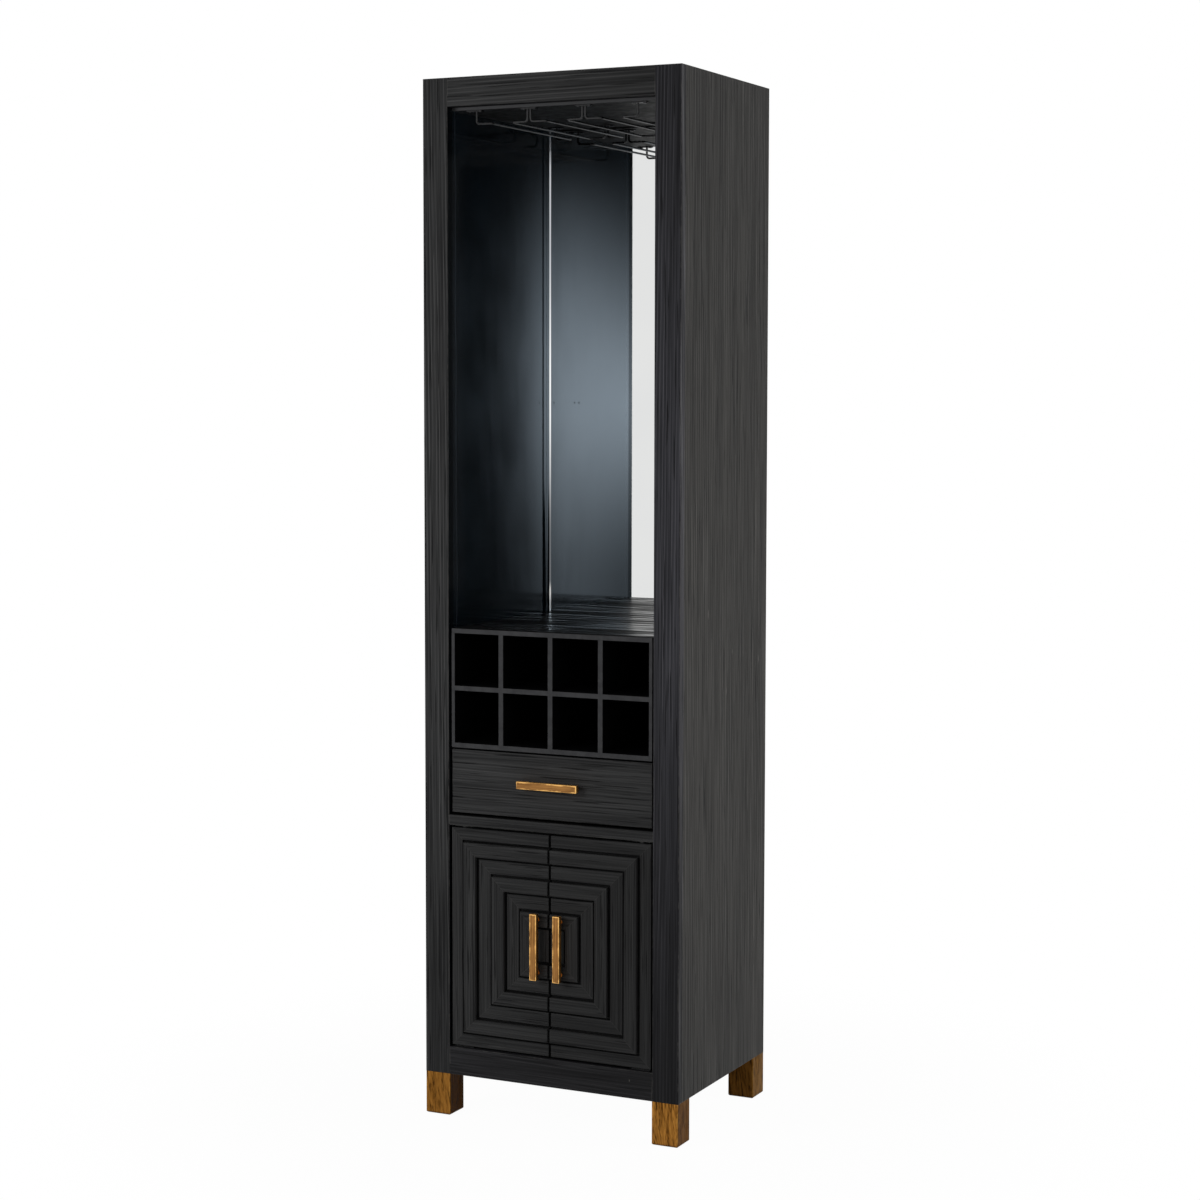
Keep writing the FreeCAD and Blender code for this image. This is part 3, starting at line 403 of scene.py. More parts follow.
def finishDoor(side, settings, finish):
    material, tree, shader, place = newMaterial("blackPine_" + side + "_door", finish["dark"])
    seen = split(tree, place)
    local = fromMiddle(tree, place, settings["middle"])
    parts = split(tree, vectors(tree, "ABSOLUTE", local))
    aside = sums(tree, "ADD", parts["X"], settings["mitreShift"])
    lean = sums(tree, "SUBTRACT", parts["Z"], aside)
    pastBlock = sums(tree, "GREATER_THAN", parts["Z"], settings["blockHalf"])
    across = sums(tree, "MULTIPLY", sums(tree, "GREATER_THAN", lean, 0.0), pastBlock)
    outer = sums(tree, "MAXIMUM", parts["Z"], aside)
    ring = sums(tree, "SUBTRACT", settings["halfHeight"] + settings["trim"], outer)
    ring = sums(tree, "FLOOR", sums(tree, "DIVIDE", ring, settings["pitch"]))
    level = reorder(tree, local, "ZYX")
    spot = put(tree, "Mix", {0: across, 4: local, 5: level}, data_type="VECTOR").outputs[1]
    seed = sums(tree, "MULTIPLY_ADD", across, settings["levelSeed"], settings["firstSeed"])
    seed = sums(tree, "MULTIPLY_ADD", ring, settings["stripSeed"], seed)
    grain = useGroup(tree, pineGrain, {
        "Vector": spot, "Seed": seed, "Pith": settings["pith"], "Ring Pitch": settings["ringPitch"]})
    # painted light, falling off from left to right
    cast = ramp(tree, seen["X"], -settings["halfWidth"], settings["halfWidth"], *settings["shade"])
    colour = stainAndLightColour(tree, grain, finish, cast, settings["ringStrength"])
    # a painted highlight along each mitre
    mitreHighlight = ramp(tree, sums(tree, "ABSOLUTE", lean), 0.0, settings["mitreWidth"], settings["mitreShare"], 0.0)
    colour = tint(tree, sums(tree, "MULTIPLY", mitreHighlight, pastBlock), colour, finish["rubbedAndSheen"])
    # painted shade: the grooves' walls and floors darken with depth
    grooveShade = sums(tree, "MULTIPLY", ramp(tree, seen["Y"], settings["grooveStart"], settings["grooveDeep"]),
                  ramp(tree, seen["Y"], settings["panelFace"], settings["panelClear"], settings["grooveShadeShare"], 0.0))
    colour = tint(tree, grooveShade, colour, finish["checkAndShade"])
    height, rough = stainRelief(tree, grain, finish, settings["ringStrength"])
    plainSockets(shader, {"Specular IOR Level": finish["gloss"]})
    feed(tree, shader, colour, rough, height, finish["relief"])
    finishNodes([side + "_door_" + piece for piece in settings["pieces"]], material)


for side in ("left", "right"):
    finishDoor(side, doorSettings, blackPine)
print("doors finished")

# Smooth satin black on the bay's walls
satinBlack = {
    "dark": (0.0038, 0.0092, 0.0145, 1.0), "light": (0.0075, 0.0165, 0.0260, 1.0),
    "cloudScale": 9.0, "brushStretch": (60.0, 60.0, 6.0), "brushShare": 0.4,
    "roughLow": 0.09, "roughHigh": 0.115, "gloss": 0.5,
    # a faint pale line down the wall, which wanders with the height
    "line": (0.10, 0.12, 0.14, 1.0), "linePlace": -0.1590, "lineWidth": 0.0030, "lineShare": 0.45,
    "lineWave": 0.010, "waveScale": 3.5, "waveRange": (0.2, 0.8),
    "nodes": ["side_lining_left", "side_lining_right"],
}


def finishSatin(settings):
    material, tree, shader, place = newMaterial("satinBlack", settings["dark"])
    cloud = noise(tree, place, settings["cloudScale"], *cloudy)
    brushed = stretchedNoise(tree, place, settings["brushStretch"])
    colour = tint(tree, spread(tree, cloud), settings["dark"], settings["light"])
    parts = split(tree, place)
    wave = noise(tree, put(tree, "CombineXYZ", {2: parts["Z"]}).outputs[0], settings["waveScale"])
    centre = ramp(tree, wave, *settings["waveRange"], settings["linePlace"] - settings["lineWave"] / 2,
                  settings["linePlace"] + settings["lineWave"] / 2)
    away = sums(tree, "ABSOLUTE", sums(tree, "SUBTRACT", parts["Y"], centre))
    line = ramp(tree, away, 0.0, settings["lineWidth"], 1.0, 0.0)
    colour = tint(tree, sums(tree, "MULTIPLY", line, settings["lineShare"]), colour, settings["line"])
    mixed = sums(tree, "MULTIPLY", cloud, 1.0 - settings["brushShare"])
    mixed = sums(tree, "MULTIPLY_ADD", brushed, settings["brushShare"], mixed)
    rough = ramp(tree, mixed, *noiseRange, settings["roughLow"], settings["roughHigh"])
    plainSockets(shader, {"Specular IOR Level": settings["gloss"]})
    feed(tree, shader, colour, rough)
    finishNodes(settings["nodes"], material)


# Dull black boards, whose front edge is painted paler, as painted light where it shows below the top rail
dullBlack = {
    "dark": (0.006, 0.0062, 0.0065, 1.0), "light": (0.010, 0.0102, 0.0105, 1.0),
    "edge": (0.060, 0.060, 0.062, 1.0), "edgeWidth": 0.0012,
    "scale": 60.0, "rough": (0.5, 0.62), "gloss": 0.1,
    "nodes": ["ceiling_panel", "cupboard_shelf", "bottom_panel", "dust_panel"],
}


def finishDull(settings):
    for node in settings["nodes"]:
        middle, half = boxMiddle(node)
        front = middle.y - half.y
        material, tree, shader, place = newMaterial("dullBlack_" + node, settings["dark"])
        share = spread(tree, noise(tree, place, settings["scale"], *cloudy))
        colour = tint(tree, share, settings["dark"], settings["light"])
        # painted light on the front edge
        edge = ramp(tree, split(tree, place)["Y"], front, front + settings["edgeWidth"], 1.0, 0.0)
        colour = tint(tree, edge, colour, settings["edge"])
        plainSockets(shader, {"Specular IOR Level": settings["gloss"]})
        feed(tree, shader, colour, ramp(tree, share, 0.0, 1.0, *settings["rough"]))
        finishNodes([node], material)


finishSatin(satinBlack)
finishDull(dullBlack)

# Counter: black boards with the grain across the cabinet, dull but for polished streaks
counterSettings = {
    "dark": (0.0008, 0.0008, 0.0010, 1.0), "light": (0.006, 0.0058, 0.0055, 1.0),
    "toneShare": 0.6, "shadeRange": (0.1, 0.9), "rough": (0.45, 0.6), "gloss": 0.03,
    "streakStretch": (4.0, 48.0, 48.0), "streakRange": (0.46, 0.62), "coat": (0.01, 1.0), "coatRough": 0.26,
    "seed": 2.7, "pith": (0.25, 0.07, 0.0), "ringPitch": 0.009, "wander": 0.02, "relief": (0.5, 0.0006),
}


def finishCounter(settings):
    middle = boxMiddle("counter_top")[0]
    material, tree, shader, place = newMaterial("counterPine", settings["dark"])
    local = fromMiddle(tree, place, middle)
    grain = useGroup(tree, pineGrain, {
        "Vector": reorder(tree, local, "YZX"), "Seed": settings["seed"], "Pith": settings["pith"],
        "Ring Pitch": settings["ringPitch"], "Wander": settings["wander"]})
    shade = sums(tree, "MULTIPLY", grain["Rings"], 1.0 - settings["toneShare"])
    shade = sums(tree, "MULTIPLY_ADD", grain["Tone"], settings["toneShare"], shade)
    colour = tint(tree, shade, settings["dark"], settings["light"])
    streaks = stretchedNoise(tree, local, settings["streakStretch"], *cloudy)
    polish = ramp(tree, streaks, *settings["streakRange"], *settings["coat"])
    rough = ramp(tree, shade, *settings["shadeRange"], *settings["rough"])
    plainSockets(shader, {"Specular IOR Level": settings["gloss"], "Coat Roughness": settings["coatRough"]})
    tree.links.new(polish, shader.inputs["Coat Weight"])
    feed(tree, shader, colour, rough, grain["Tone"], settings["relief"])
    finishNodes(["counter_top"], material)


finishCounter(counterSettings)

# Bottle cubby: charcoal grey front edges, and painted shade inside, where the colour turns black
cubbySettings = {
    "front": (0.058, 0.058, 0.060, 1.0), "frontDark": (0.044, 0.044, 0.046, 1.0),
    "inside": (0.0006, 0.0006, 0.0008, 1.0),
    "frontPlane": -0.18425, "edge": (0.00036, 0.0012),  # how far behind the front the grey turns to the black of painted shade
    "cloudScale": 60.0, "fineScale": 900.0, "fineRange": (0.2, 0.8),
    "rough": (0.58, 0.74), "gloss": 0.06, "relief": (0.15, 0.0002),
    "nodes": ["counter_edging", "cubby_boards", "cubby_sides", "cubby_dividers"],
}


def finishCubby(settings):
    material, tree, shader, place = newMaterial("charcoalPaintAndShade", settings["front"])
    behind = sums(tree, "SUBTRACT", split(tree, place)["Y"], settings["frontPlane"])
    cloud = noise(tree, place, settings["cloudScale"], *cloudy)
    fine = noise(tree, place, settings["fineScale"])
    face = tint(tree, spread(tree, cloud), settings["frontDark"], settings["front"])
    # painted shade: black inside the cells, behind the front
    colour = tint(tree, ramp(tree, behind, *settings["edge"]), face, settings["inside"])
    plainSockets(shader, {"Specular IOR Level": settings["gloss"]})
    rough = ramp(tree, fine, *settings["fineRange"], *settings["rough"])
    feed(tree, shader, colour, rough, fine, settings["relief"])
    finishNodes(settings["nodes"], material)


finishCubby(cubbySettings)
print("interior finished")

# Legs: golden brown stained wood with dark slanting figure and a painted gold highlight on the upright
# edges; the sides are darker, partly by stain and partly by painted shade
legSettings = {
    "light": (0.40, 0.175, 0.032, 1.0), "mid": (0.19, 0.076, 0.012, 1.0), "dark": (0.018, 0.0065, 0.0012, 1.0),
    "gold": (0.62, 0.30, 0.060, 1.0), "goldWidth": 0.0032, "goldPatchiness": 0.4, "goldShare": 0.55,
    "goldTall": 3,  # times the leg's height, so that only its upright edges get the painted highlight
    "lean": 0.09, "driftStretch": (30.0, 30.0, 14.0), "drift": 0.012,  # the figure leans and wanders
    "figureStretch": (190.0, 190.0, 24.0), "figureDetail": (4.0, 0.65),
    "figureLight": (0.34, 0.60), "figureDark": (0.30, 0.44), "figureShare": 0.95,
    "poreStretch": (380.0, 380.0, 30.0), "poreDetail": (2.0, 0.6),
    "poreDark": (0.56, 0.70), "poreShare": 0.85, "poreDeep": (0.5, 0.7),
    "pithAside": 0.06, "ringPitch": 0.009, "wander": 0.02, "ringShare": 0.5,
    "sideStart": 0.0012,
    "footRange": (0.002, 0.008), "footShare": 0.75,
    "rough": (0.38, 0.55), "gloss": 0.015, "relief": (0.4, 0.0005),
    # front strengths and side tints are partly painted shade: rear fronts and left sides are darker as shade
    "legs": {  # seed, strength of the front's colour, tint of the sides
        "leg_front_left": (1.1, 1.05, (0.28, 0.24, 0.20)), "leg_front_right": (4.3, 1.42, (0.43, 0.46, 0.80)),
        "leg_rear_left": (7.7, 0.6, (0.28, 0.24, 0.20)), "leg_rear_right": (9.2, 0.68, (0.53, 0.62, 1.0)),
    },
}


def finishLeg(node, seed, strength, sideTint, settings):
    middle, half = boxMiddle(node)
    material, tree, shader, place = newMaterial("goldenWood_" + node, settings["light"])
    local = fromMiddle(tree, place, middle)
    parts = split(tree, local)
    drift = sums(tree, "MULTIPLY", stretchedNoise(tree, local, settings["driftStretch"]), settings["drift"])
    slide = sums(tree, "MULTIPLY_ADD", parts["Z"], settings["lean"], drift)
    leaning = put(tree, "CombineXYZ", {
        0: sums(tree, "ADD", parts["X"], slide), 1: sums(tree, "ADD", parts["Y"], seed), 2: parts["Z"]}).outputs[0]
    grain = useGroup(tree, pineGrain, {
        "Vector": leaning, "Seed": seed, "Pith": (settings["pithAside"], -seed, 0.0),
        "Ring Pitch": settings["ringPitch"], "Wander": settings["wander"]})
    figure = stretchedNoise(tree, leaning, settings["figureStretch"], *settings["figureDetail"])
    pores = stretchedNoise(tree, leaning, settings["poreStretch"], *settings["poreDetail"])
    colour = tint(tree, ramp(tree, figure, *settings["figureLight"]), settings["mid"], settings["light"])
    colour = tint(tree, sums(tree, "MULTIPLY", grain["Rings"], settings["ringShare"]), colour, settings["mid"])
    for share in (ramp(tree, figure, *settings["figureDark"], settings["figureShare"], 0.0),
                  ramp(tree, pores, *settings["poreDark"], 0.0, settings["poreShare"])):
        colour = tint(tree, share, colour, settings["dark"])
    # a painted highlight of gold along the upright edges
    edgeHighlight = useGroup(tree, edgeRubAndSheen, {
        "Vector": local, "Half Size": (half.x, half.y, half.z * settings["goldTall"]),
        "Width": settings["goldWidth"], "Patchiness": settings["goldPatchiness"]})["Mask"]
    colour = tint(tree, sums(tree, "MULTIPLY", edgeHighlight, settings["goldShare"]), colour, settings["gold"])
    # darker sides, partly by stain and partly by painted shade
    gap = sums(tree, "SUBTRACT", half.x, sums(tree, "ABSOLUTE", parts["X"]))
    onSide = ramp(tree, gap, 0.0, settings["sideStart"], 1.0, 0.0)
    dim = tint(tree, onSide, (strength, strength, strength, 1.0), (*sideTint, 1.0))
    colour = vectors(tree, "MULTIPLY", colour, dim)
    # darker towards the foot
    darkerFoot = ramp(tree, split(tree, place)["Z"], *settings["footRange"], settings["footShare"], 0.0)
    colour = tint(tree, darkerFoot, colour, settings["dark"])
    height = sums(tree, "SUBTRACT", 1.0, ramp(tree, pores, *settings["poreDeep"]))
    rough = ramp(tree, grain["Tone"], 0.0, 1.0, settings["rough"][1], settings["rough"][0])
    plainSockets(shader, {"Specular IOR Level": settings["gloss"]})
    feed(tree, shader, colour, rough, height, settings["relief"])
    finishNodes([node], material)


for leg, values in legSettings["legs"].items():
    finishLeg(leg, *values, legSettings)
print("legs finished")

# Pale pine boards inside
palePine = {
    "preview": (0.6, 0.42, 0.25, 1.0),
    "deep": (0.50, 0.34, 0.19, 1.0), "pale": (0.62, 0.45, 0.28, 1.0),
    "ring": (0.34, 0.20, 0.09, 1.0), "ringShare": 0.35,
    "seed": 3.3, "pith": (0.2, 0.06, 0.0), "ringPitch": 0.005, "rough": (0.5, 0.65), "relief": (0.15, 0.0002),
    "nodes": ["side_battens", "corner_blocks", "dowels", "drawer_sides", "drawer_box_ends", "drawer_bottom"],
}


def finishPale(settings):
    material, tree, shader, place = newMaterial("palePine", settings["preview"])
    grain = useGroup(tree, pineGrain, {
        "Vector": reorder(tree, place, "ZXY"), "Seed": settings["seed"], "Pith": settings["pith"],
        "Ring Pitch": settings["ringPitch"]})
    colour = tint(tree, grain["Tone"], settings["deep"], settings["pale"])
    colour = tint(tree, sums(tree, "MULTIPLY", grain["Rings"], settings["ringShare"]), colour, settings["ring"])
    rough = ramp(tree, grain["Fibres"], 0.0, 1.0, *settings["rough"])
    feed(tree, shader, colour, rough, grain["Fibres"], settings["relief"])
    finishNodes(settings["nodes"], material)


# Back, plastic, wire and plated steel: two tones, patterns per metre, roughness, metal and gloss
plainFinishes = {
    "blackBoard": {
        "first": (0.009, 0.009, 0.009, 1.0), "second": (0.018, 0.017, 0.016, 1.0),
        "stretch": (180.0, 180.0, 180.0), "rough": (0.6, 0.75), "metal": 0.0, "gloss": 0.3,
        "nodes": ["back_panel"],
    },
    "blackPlastic": {
        "first": (0.006, 0.006, 0.006, 1.0), "second": (0.012, 0.012, 0.012, 1.0),
        "stretch": (400.0, 400.0, 400.0), "rough": (0.4, 0.55), "metal": 0.0, "gloss": 0.5,
        "nodes": ["leg_glides", "door_catches"],
    },
    "blackWire": {
        "first": (0.004, 0.004, 0.0045, 1.0), "second": (0.014, 0.014, 0.015, 1.0),
        "stretch": (300.0, 300.0, 300.0), "rough": (0.26, 0.36), "metal": 0.0, "gloss": 0.45,
        "nodes": ["rack_wires_left", "rack_wires_middle", "rack_wires_right", "rack_plates", "wood_screws",
                  "pivot_plates", "left_door_fittings", "right_door_fittings"],
    },
    "zincPlate": {
        "first": (0.42, 0.42, 0.41, 1.0), "second": (0.56, 0.56, 0.55, 1.0),
        "stretch": (500.0, 30.0, 500.0), "rough": (0.28, 0.42), "metal": 1.0, "gloss": 0.5,
        "nodes": ["leg_bolts", "shelf_pins", "drawer_screws", "left_door_pull_screws", "right_door_pull_screws",
                  "slide_outer_members", "slide_middle_members", "slide_inner_members"],
    },
}
plainRelief = (0.1, 0.0002)  # strength and depth


def finishPlain(name, settings):
    material, tree, shader, place = newMaterial(name, settings["first"])
    cloud = stretchedNoise(tree, place, settings["stretch"], *cloudy)
    share = spread(tree, cloud)
    colour = tint(tree, share, settings["first"], settings["second"])
    plainSockets(shader, {"Metallic": settings["metal"], "Specular IOR Level": settings["gloss"]})
    feed(tree, shader, colour, ramp(tree, share, 0.0, 1.0, *settings["rough"]), cloud, plainRelief)
    finishNodes(settings["nodes"], material)


finishPale(palePine)
for name, settings in plainFinishes.items():
    finishPlain(name, settings)
print("hardware finished")


# New pieces
def meshObject(name, shape, material):
    mesh = bpy.data.meshes.new(name)
    shape.to_mesh(mesh)
    shape.free()
    mesh.materials.append(material)
    made = bpy.data.objects.new(name, mesh)
    bpy.context.scene.collection.objects.link(made)
    return made


def newPiece(name, shape, material, body, replaced=()):
    bmesh.ops.recalc_face_normals(shape, faces=shape.faces)
    piece = meshObject(name, shape, material)
    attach(piece, body)
    if replaced:
        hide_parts(*replaced)
    return piece


def addBlock(shape, low, high):
    low, high = Vector(low), Vector(high)
    place = Matrix.Translation((low + high) / 2) @ Matrix.Diagonal((*(high - low), 1.0))
    bmesh.ops.create_cube(shape, size=1.0, matrix=place)


def smoothFaces(piece, angle):
    piece.data.shade_smooth()
    piece.data.set_sharp_from_angle(angle=math.radians(angle))


# Bar pulls of aged brass
pullSettings = {
    "length": 0.120, "width": 0.0135, "depth": 0.010, "standoff": 0.007,
    "round": 0.0009, "roundSteps": 3, "sharpFrom": 35.0,  # degrees
    "postRadius": 0.004, "postSpacing": 0.096, "collarRadius": 0.0052, "collarHeight": 0.0012, "postSides": 32,
    "brown": (0.17, 0.078, 0.024, 1.0), "brass": (0.38, 0.182, 0.054, 1.0), "bright": (0.95, 0.54, 0.17, 1.0),
    "cloudScale": 45.0, "cloudShare": 0.25, "brushedRange": (0.36, 0.62),
    "brushAcross": 700.0, "brushAlong": 14.0,  # patterns per metre
    # the side faces are painted brighter, as painted light
    "sides": (0.72, 0.35, 0.09, 1.0), "sideStart": (0.0006, 0.0014),
    "edgeWidth": 0.0024, "edgePatchiness": 0.25, "edgeShine": 0.1, "rough": (0.34, 0.46), "relief": (0.2, 0.0002),
    "pulls": {  # node: body, middle of the bar's foot plane, upright
        "drawer_pull": ("drawer", (0.0, -0.18325, 0.6251), False),
        "left_door_pull": ("left_door", (-0.023, -0.19075, 0.336), True),
        "right_door_pull": ("right_door", (0.023, -0.19075, 0.336), True),
    },
}


def finishBrass(name, middle, half, upright, settings):
    material, tree, shader, place = newMaterial("agedBrass_" + name, settings["brass"])
    local = fromMiddle(tree, place, middle)
    rubAndSheen = useGroup(tree, edgeRubAndSheen, {
        "Vector": local, "Half Size": tuple(half), "Width": settings["edgeWidth"],
        "Patchiness": settings["edgePatchiness"]})["Mask"]
    across, along = settings["brushAcross"], settings["brushAlong"]
    cloud = noise(tree, local, settings["cloudScale"])
    brushed = stretchedNoise(tree, local, (across, across, along) if upright else (along, across, across), *cloudy)
    share = sums(tree, "MULTIPLY", brushed, 1.0 - settings["cloudShare"])
    share = sums(tree, "MULTIPLY_ADD", cloud, settings["cloudShare"], share)
    colour = tint(tree, ramp(tree, share, *settings["brushedRange"]), settings["brown"], settings["brass"])
    # painted light on the bar's side faces
    near, far = (start - half.y for start in settings["sideStart"])
    colour = tint(tree, ramp(tree, split(tree, local)["Y"], near, far), colour, settings["sides"])
    colour = tint(tree, rubAndSheen, colour, settings["bright"])
    rough = ramp(tree, cloud, *noiseRange, *settings["rough"])
    rough = sums(tree, "SUBTRACT", rough, sums(tree, "MULTIPLY", rubAndSheen, settings["edgeShine"]))
    plainSockets(shader, {"Metallic": 1.0})
    feed(tree, shader, colour, rough, share, settings["relief"])
    return material


def addPull(name, body, foot, upright, settings):
    shape = bmesh.new()
    foot = Vector(foot)
    long, wide, deep = (settings[key] / 2 for key in ("length", "width", "depth"))
    half = Vector((wide, deep, long) if upright else (long, deep, wide))
    middle = foot - Vector((0.0, settings["standoff"] + deep, 0.0))
    addBlock(shape, middle - half, middle + half)
    bmesh.ops.bevel(shape, geom=shape.edges[:], offset=settings["round"], segments=settings["roundSteps"],
                    profile=0.5, affect="EDGES", material=-1)
    along = Vector((0.0, 0.0, 1.0)) if upright else Vector((1.0, 0.0, 0.0))
    turn = Matrix.Rotation(math.radians(90.0), 4, "X")
    for side in (-1, 1):
        post = foot + along * (side * settings["postSpacing"] / 2)
        for radius, depth in ((settings["postRadius"], settings["standoff"]),
                              (settings["collarRadius"], settings["collarHeight"])):
            spot = Matrix.Translation(post - Vector((0.0, depth / 2, 0.0)))
            bmesh.ops.create_cone(shape, cap_ends=True, segments=settings["postSides"], radius1=radius,
                                  radius2=radius, depth=depth, matrix=spot @ turn)
    material = finishBrass(name, middle, half, upright, settings)
    piece = newPiece("bar_" + name, shape, material, body, [name])
    smoothFaces(piece, settings["sharpFrom"])


for name, values in pullSettings["pulls"].items():
    addPull(name, *values, pullSettings)
print("pulls built")

# Mirror pane with a ground edge, and the bright polished edge that shows in the corners
mirrorSettings = {
    "groundEdge": 0.0015,
    "silver": (0.77, 0.775, 0.77, 1.0), "silverDull": (0.75, 0.757, 0.755, 1.0),
    "hazeScale": 4.0, "hazeDetail": (3.0, 0.5), "rough": (0.02, 0.012),
    # flat border, then the strip that leans by so many degrees; distances from the cabinet's middle
    "borderOuter": 0.2037, "stripOuter": 0.1975, "stripInner": 0.1948, "stripLean": 25.8,
    "borderProud": 0.0003, "stripFoot": 0.8997,
    # the strip's colour is painted reflection: dim below the first pair of heights, bright above it, plainer
    # above the next pair, and a painted glint at its foot
    "strip": (0.15, 0.155, 0.165, 1.0), "stripBright": (1.0, 1.0, 1.0, 1.0), "stripTop": (0.56, 0.57, 0.60, 1.0),
    "stripFade": (1.03, 1.33), "topFade": (1.34, 1.62),
    "glint": (1.0, 0.97, 0.93, 1.0), "stripGlint": (0.930, 0.962),
    # the border is painted dark beside the strip, as painted shade of a gap, more so towards the foot: heights,
    # then distances
    "tarnish": (0.02, 0.022, 0.025, 1.0), "tarnishFade": (1.08, 1.17),
    "tarnishWidth": (0.93, 1.10, 0.2026, 0.2009),
    "stripCloud": 60.0, "stripRough": (0.13, 0.17), "borderRough": 0.02,
}


def addMirror(low, high, settings):
    shape = bmesh.new()
    addBlock(shape, low, high)
    middle = (low.y + high.y) / 2
    front = [edge for edge in shape.edges if all(vert.co.y < middle for vert in edge.verts)]
    bmesh.ops.bevel(shape, geom=front, offset=settings["groundEdge"], segments=1, profile=0.5,
                    affect="EDGES", material=-1)
    material, tree, shader, place = newMaterial("mirrorSilver", settings["silver"])
    share = spread(tree, noise(tree, place, settings["hazeScale"], *settings["hazeDetail"]))
    colour = tint(tree, share, settings["silverDull"], settings["silver"])
    plainSockets(shader, {"Metallic": 1.0})
    feed(tree, shader, colour, ramp(tree, share, 0.0, 1.0, *settings["rough"]))
    newPiece("mirror_pane", shape, material, "root", ["mirror"])


# The pane's polished upright edges: a flat border, then a narrow facet that leans towards the bay's middle
def addMirrorEdges(low, high, settings):
    shape = bmesh.new()
    foot = settings["stripFoot"]
    inner, middle, outer = (settings[key] for key in ("stripInner", "stripOuter", "borderOuter"))
    flat = low.y - settings["borderProud"]
    proud = low.y - (middle - inner) * math.tan(math.radians(settings["stripLean"]))
    section = ((outer, low.y), (outer, flat), (middle, flat), (middle, proud), (inner, low.y))
    for side in (-1, 1):
        face = shape.faces.new([shape.verts.new((side * x, y, foot)) for x, y in section])
        grown = bmesh.ops.extrude_face_region(shape, geom=[face])["geom"]
        top = [item for item in grown if isinstance(item, bmesh.types.BMVert)]
        bmesh.ops.translate(shape, verts=top, vec=(0.0, 0.0, high.z - foot))
    material, tree, shader, place = newMaterial("polishedEdge", settings["strip"])
    parts = split(tree, place)
    aside, height = sums(tree, "ABSOLUTE", parts["X"]), parts["Z"]
    # painted reflection: the strip's brightness changes with height
    colour = tint(tree, ramp(tree, height, *settings["stripFade"]), settings["strip"], settings["stripBright"])
    colour = tint(tree, ramp(tree, height, *settings["topFade"]), colour, settings["stripTop"])
    colour = tint(tree, ramp(tree, height, *settings["stripGlint"], 1.0, 0.0), colour, settings["glint"])
    # painted shade of a gap beside the strip
    clearOfGapShade = sums(tree, "GREATER_THAN", aside, ramp(tree, height, *settings["tarnishWidth"]))
    clearOfGapShade = sums(tree, "MAXIMUM", clearOfGapShade, ramp(tree, height, *settings["tarnishFade"]))
    border = tint(tree, clearOfGapShade, settings["tarnish"], settings["silver"])
    onBorder = sums(tree, "GREATER_THAN", aside, middle)
    cloud = spread(tree, noise(tree, place, settings["stripCloud"], *cloudy))
    rough = ramp(tree, cloud, 0.0, 1.0, *settings["stripRough"])
    rough = sums(tree, "MULTIPLY", rough, sums(tree, "SUBTRACT", 1.0, onBorder))
    rough = sums(tree, "MULTIPLY_ADD", onBorder, settings["borderRough"], rough)
    plainSockets(shader, {"Metallic": 1.0})
    feed(tree, shader, tint(tree, onBorder, colour, border), rough)
    newPiece("mirror_edges", shape, material, "root")


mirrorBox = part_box("mirror")
addMirror(*mirrorBox, mirrorSettings)
addMirrorEdges(*mirrorBox, mirrorSettings)
print("mirror built")

# Studio: plain pale floor, white surroundings, soft lamps, and what the satin walls reflect
studioSettings = {
    "floorHalf": 14.0,
    "floorColour": (0.88, 0.88, 0.88, 1.0), "floorDull": (0.8668, 0.8668, 0.8668, 1.0), "floorCloud": 3.0,
    "floorRough": 0.8, "floorGloss": 0.1,
    "glowNear": 0.975, "nearRadius": 0.45, "farRadius": 1.2,  # the floor turns to plain white away from the cabinet
    "white": (1.0, 1.0, 1.0, 1.0), "sky": 0.22,
    "lamps": {  # place, aim, size, power, colour
        "rightBox": ((3.0, 0.75, 1.45), (0.25, 0.0, 0.95), (1.6, 2.4), 48.0, (1.0, 0.985, 0.955)),
        "leftBox": ((-1.25, -2.2, 1.40), (0.0, -0.18, 1.15), (0.9, 1.1), 30.0, (0.98, 0.99, 1.0)),
    },
}


def seesWhite(tree):  # camera, glossy and transmission rays see plain white surroundings
    rays = put(tree, "LightPath").outputs
    seen = sums(tree, "MAXIMUM", rays["Is Camera Ray"], rays["Is Glossy Ray"])
    return sums(tree, "MAXIMUM", seen, rays["Is Transmission Ray"])


def addFloor(settings):
    shape = bmesh.new()
    bmesh.ops.create_grid(shape, x_segments=1, y_segments=1, size=settings["floorHalf"])
    material, tree, shader, place = newMaterial("paleFloor", settings["floorColour"])
    share = spread(tree, noise(tree, place, settings["floorCloud"]))
    feed(tree, shader, tint(tree, share, settings["floorDull"], settings["floorColour"]))
    plainSockets(shader, {"Roughness": settings["floorRough"], "Specular IOR Level": settings["floorGloss"]})
    glow = put(tree, "Emission", {"Color": settings["white"], "Strength": 1.0})
    away = vectors(tree, "LENGTH", place)
    glowing = ramp(tree, away, settings["nearRadius"], settings["farRadius"], settings["glowNear"], 1.0)
    glowing = sums(tree, "MULTIPLY", seesWhite(tree), glowing)
    mixed = put(tree, "MixShader", {0: glowing, 1: shader.outputs[0], 2: glow.outputs[0]})
    end = next(item for item in tree.nodes if item.type == "OUTPUT_MATERIAL")
    tree.links.new(mixed.outputs[0], end.inputs["Surface"])
    floor = meshObject("studioFloor", shape, material)


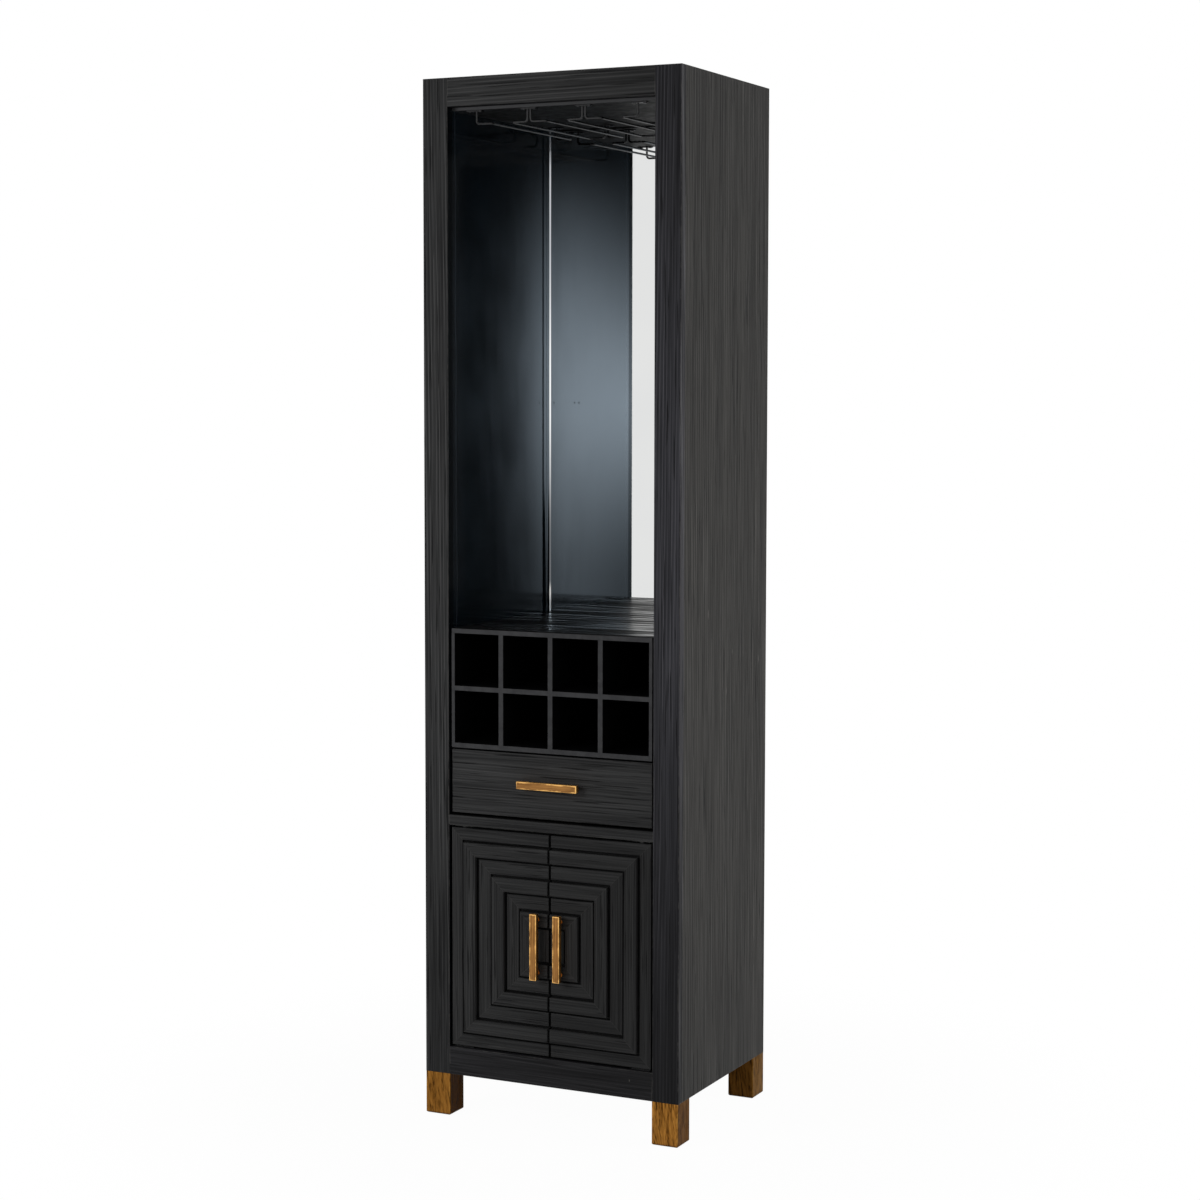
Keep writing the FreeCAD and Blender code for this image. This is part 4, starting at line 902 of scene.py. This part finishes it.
def addSky(settings):
    world = bpy.data.worlds.new("studioSky")
    bpy.context.scene.world = world
    world.use_nodes = True
    tree = world.node_tree
    tree.nodes.clear()
    plain = put(tree, "Background", {"Color": settings["white"], "Strength": settings["sky"]})
    white = put(tree, "Background", {"Color": settings["white"], "Strength": 1.0})
    mixed = put(tree, "MixShader", {0: seesWhite(tree), 1: plain.outputs[0], 2: white.outputs[0]})
    put(tree, "OutputWorld", {"Surface": mixed.outputs[0]})


# A glowing softbox and the dark cloth behind it, beside the camera, which only second reflections see
reflectionSettings = {
    "boxLeft": 1.17, "boxRight": 2.088, "boxDepth": -4.20, "boxMiddle": (2.003, 1.275),
    "boxLow": (0.56, 1.30), "boxHigh": (1.35, 2.35),  # heights between which the light comes and goes
    "lowShare": 0.36, "sideFade": 3.2, "edgeFade": 9.6, "fadeFloor": 0.30,
    "glow": 2.8, "glowColour": (0.83, 1.0, 1.17, 1.0),
    "clothLeft": 0.9, "clothRight": 5.2, "clothDepth": -4.6, "clothLow": -0.4, "clothHigh": 4.4,
    "clothColour": (0.01, 0.01, 0.011, 1.0),
    "black": (0.0, 0.0, 0.0, 1.0),
    "pastFirst": 1.5,  # a ray's depth after its first surface is 1, and after its second 2
}


def addPanel(name, left, right, depth, low, high, material):  # an upright sheet that faces the cabinet
    shape = bmesh.new()
    bmesh.ops.create_grid(shape, x_segments=1, y_segments=1, size=0.5)
    place = Matrix.Translation(((left + right) / 2, depth, (low + high) / 2))
    place = place @ Matrix.Rotation(math.radians(-90.0), 4, "X")
    place = place @ Matrix.Diagonal((right - left, high - low, 1.0, 1.0))
    bmesh.ops.transform(shape, verts=shape.verts, matrix=place)
    panel = meshObject(name, shape, material)
    panel.visible_camera = panel.visible_diffuse = panel.visible_shadow = panel.visible_transmission = False


def hideAtFirst(tree, shader, settings):  # clear to every ray that has met fewer than two surfaces
    depth = put(tree, "LightPath").outputs["Ray Depth"]
    tree.links.new(sums(tree, "GREATER_THAN", depth, settings["pastFirst"]), shader.inputs["Alpha"])


def addReflections(settings):
    cloth, tree, shader, place = newMaterial("darkCloth", settings["clothColour"])
    plainSockets(shader, {"Base Color": settings["clothColour"], "Roughness": 1.0, "Specular IOR Level": 0.0})
    hideAtFirst(tree, shader, settings)
    addPanel("darkCloth", settings["clothLeft"], settings["clothRight"], settings["clothDepth"],
             settings["clothLow"], settings["clothHigh"], cloth)
    glow, tree, shader, place = newMaterial("softboxGlow", settings["glowColour"])
    spot = split(tree, place)
    rise = ramp(tree, spot["Z"], *settings["boxLow"], settings["lowShare"], 1.0)
    fall = ramp(tree, spot["Z"], *settings["boxHigh"], 1.0, 0.0)
    aside = sums(tree, "SUBTRACT", settings["boxMiddle"][0], spot["X"])
    drop = sums(tree, "SUBTRACT", settings["boxMiddle"][1], spot["Z"])
    inward = sums(tree, "MULTIPLY", aside, settings["sideFade"])
    inward = sums(tree, "MULTIPLY", inward, sums(tree, "ABSOLUTE", drop))
    outward = sums(tree, "MULTIPLY", aside, -settings["edgeFade"])
    outward = sums(tree, "MULTIPLY", outward, sums(tree, "MAXIMUM", drop, 0.0))
    fade = sums(tree, "SUBTRACT", 1.0, sums(tree, "MAXIMUM", inward, outward))
    fade = sums(tree, "MAXIMUM", fade, settings["fadeFloor"])
    strength = sums(tree, "MULTIPLY", fade, settings["glow"])
    strength = sums(tree, "MULTIPLY", sums(tree, "MULTIPLY", rise, fall), strength)
    plainSockets(shader, {"Base Color": settings["black"], "Specular IOR Level": 0.0,
                          "Emission Color": settings["glowColour"]})
    tree.links.new(strength, shader.inputs["Emission Strength"])
    hideAtFirst(tree, shader, settings)
    addPanel("softboxGlow", settings["boxLeft"], settings["boxRight"], settings["boxDepth"],
             0.0, settings["boxHigh"][1], glow)


def addLamp(name, place, aim, size, power, colour):
    data = bpy.data.lights.new(name, "AREA")
    data.shape = "RECTANGLE"
    data.size, data.size_y = size
    data.energy = power
    data.color = colour
    lamp = bpy.data.objects.new(name, data)
    lamp.location = place
    lamp.rotation_euler = (Vector(aim) - Vector(place)).to_track_quat("-Z", "Y").to_euler()
    lamp.visible_camera = lamp.visible_glossy = False
    bpy.context.scene.collection.objects.link(lamp)


addFloor(studioSettings)
addSky(studioSettings)
addReflections(reflectionSettings)
for name, values in studioSettings["lamps"].items():
    addLamp(name, *values)
print("studio lit")
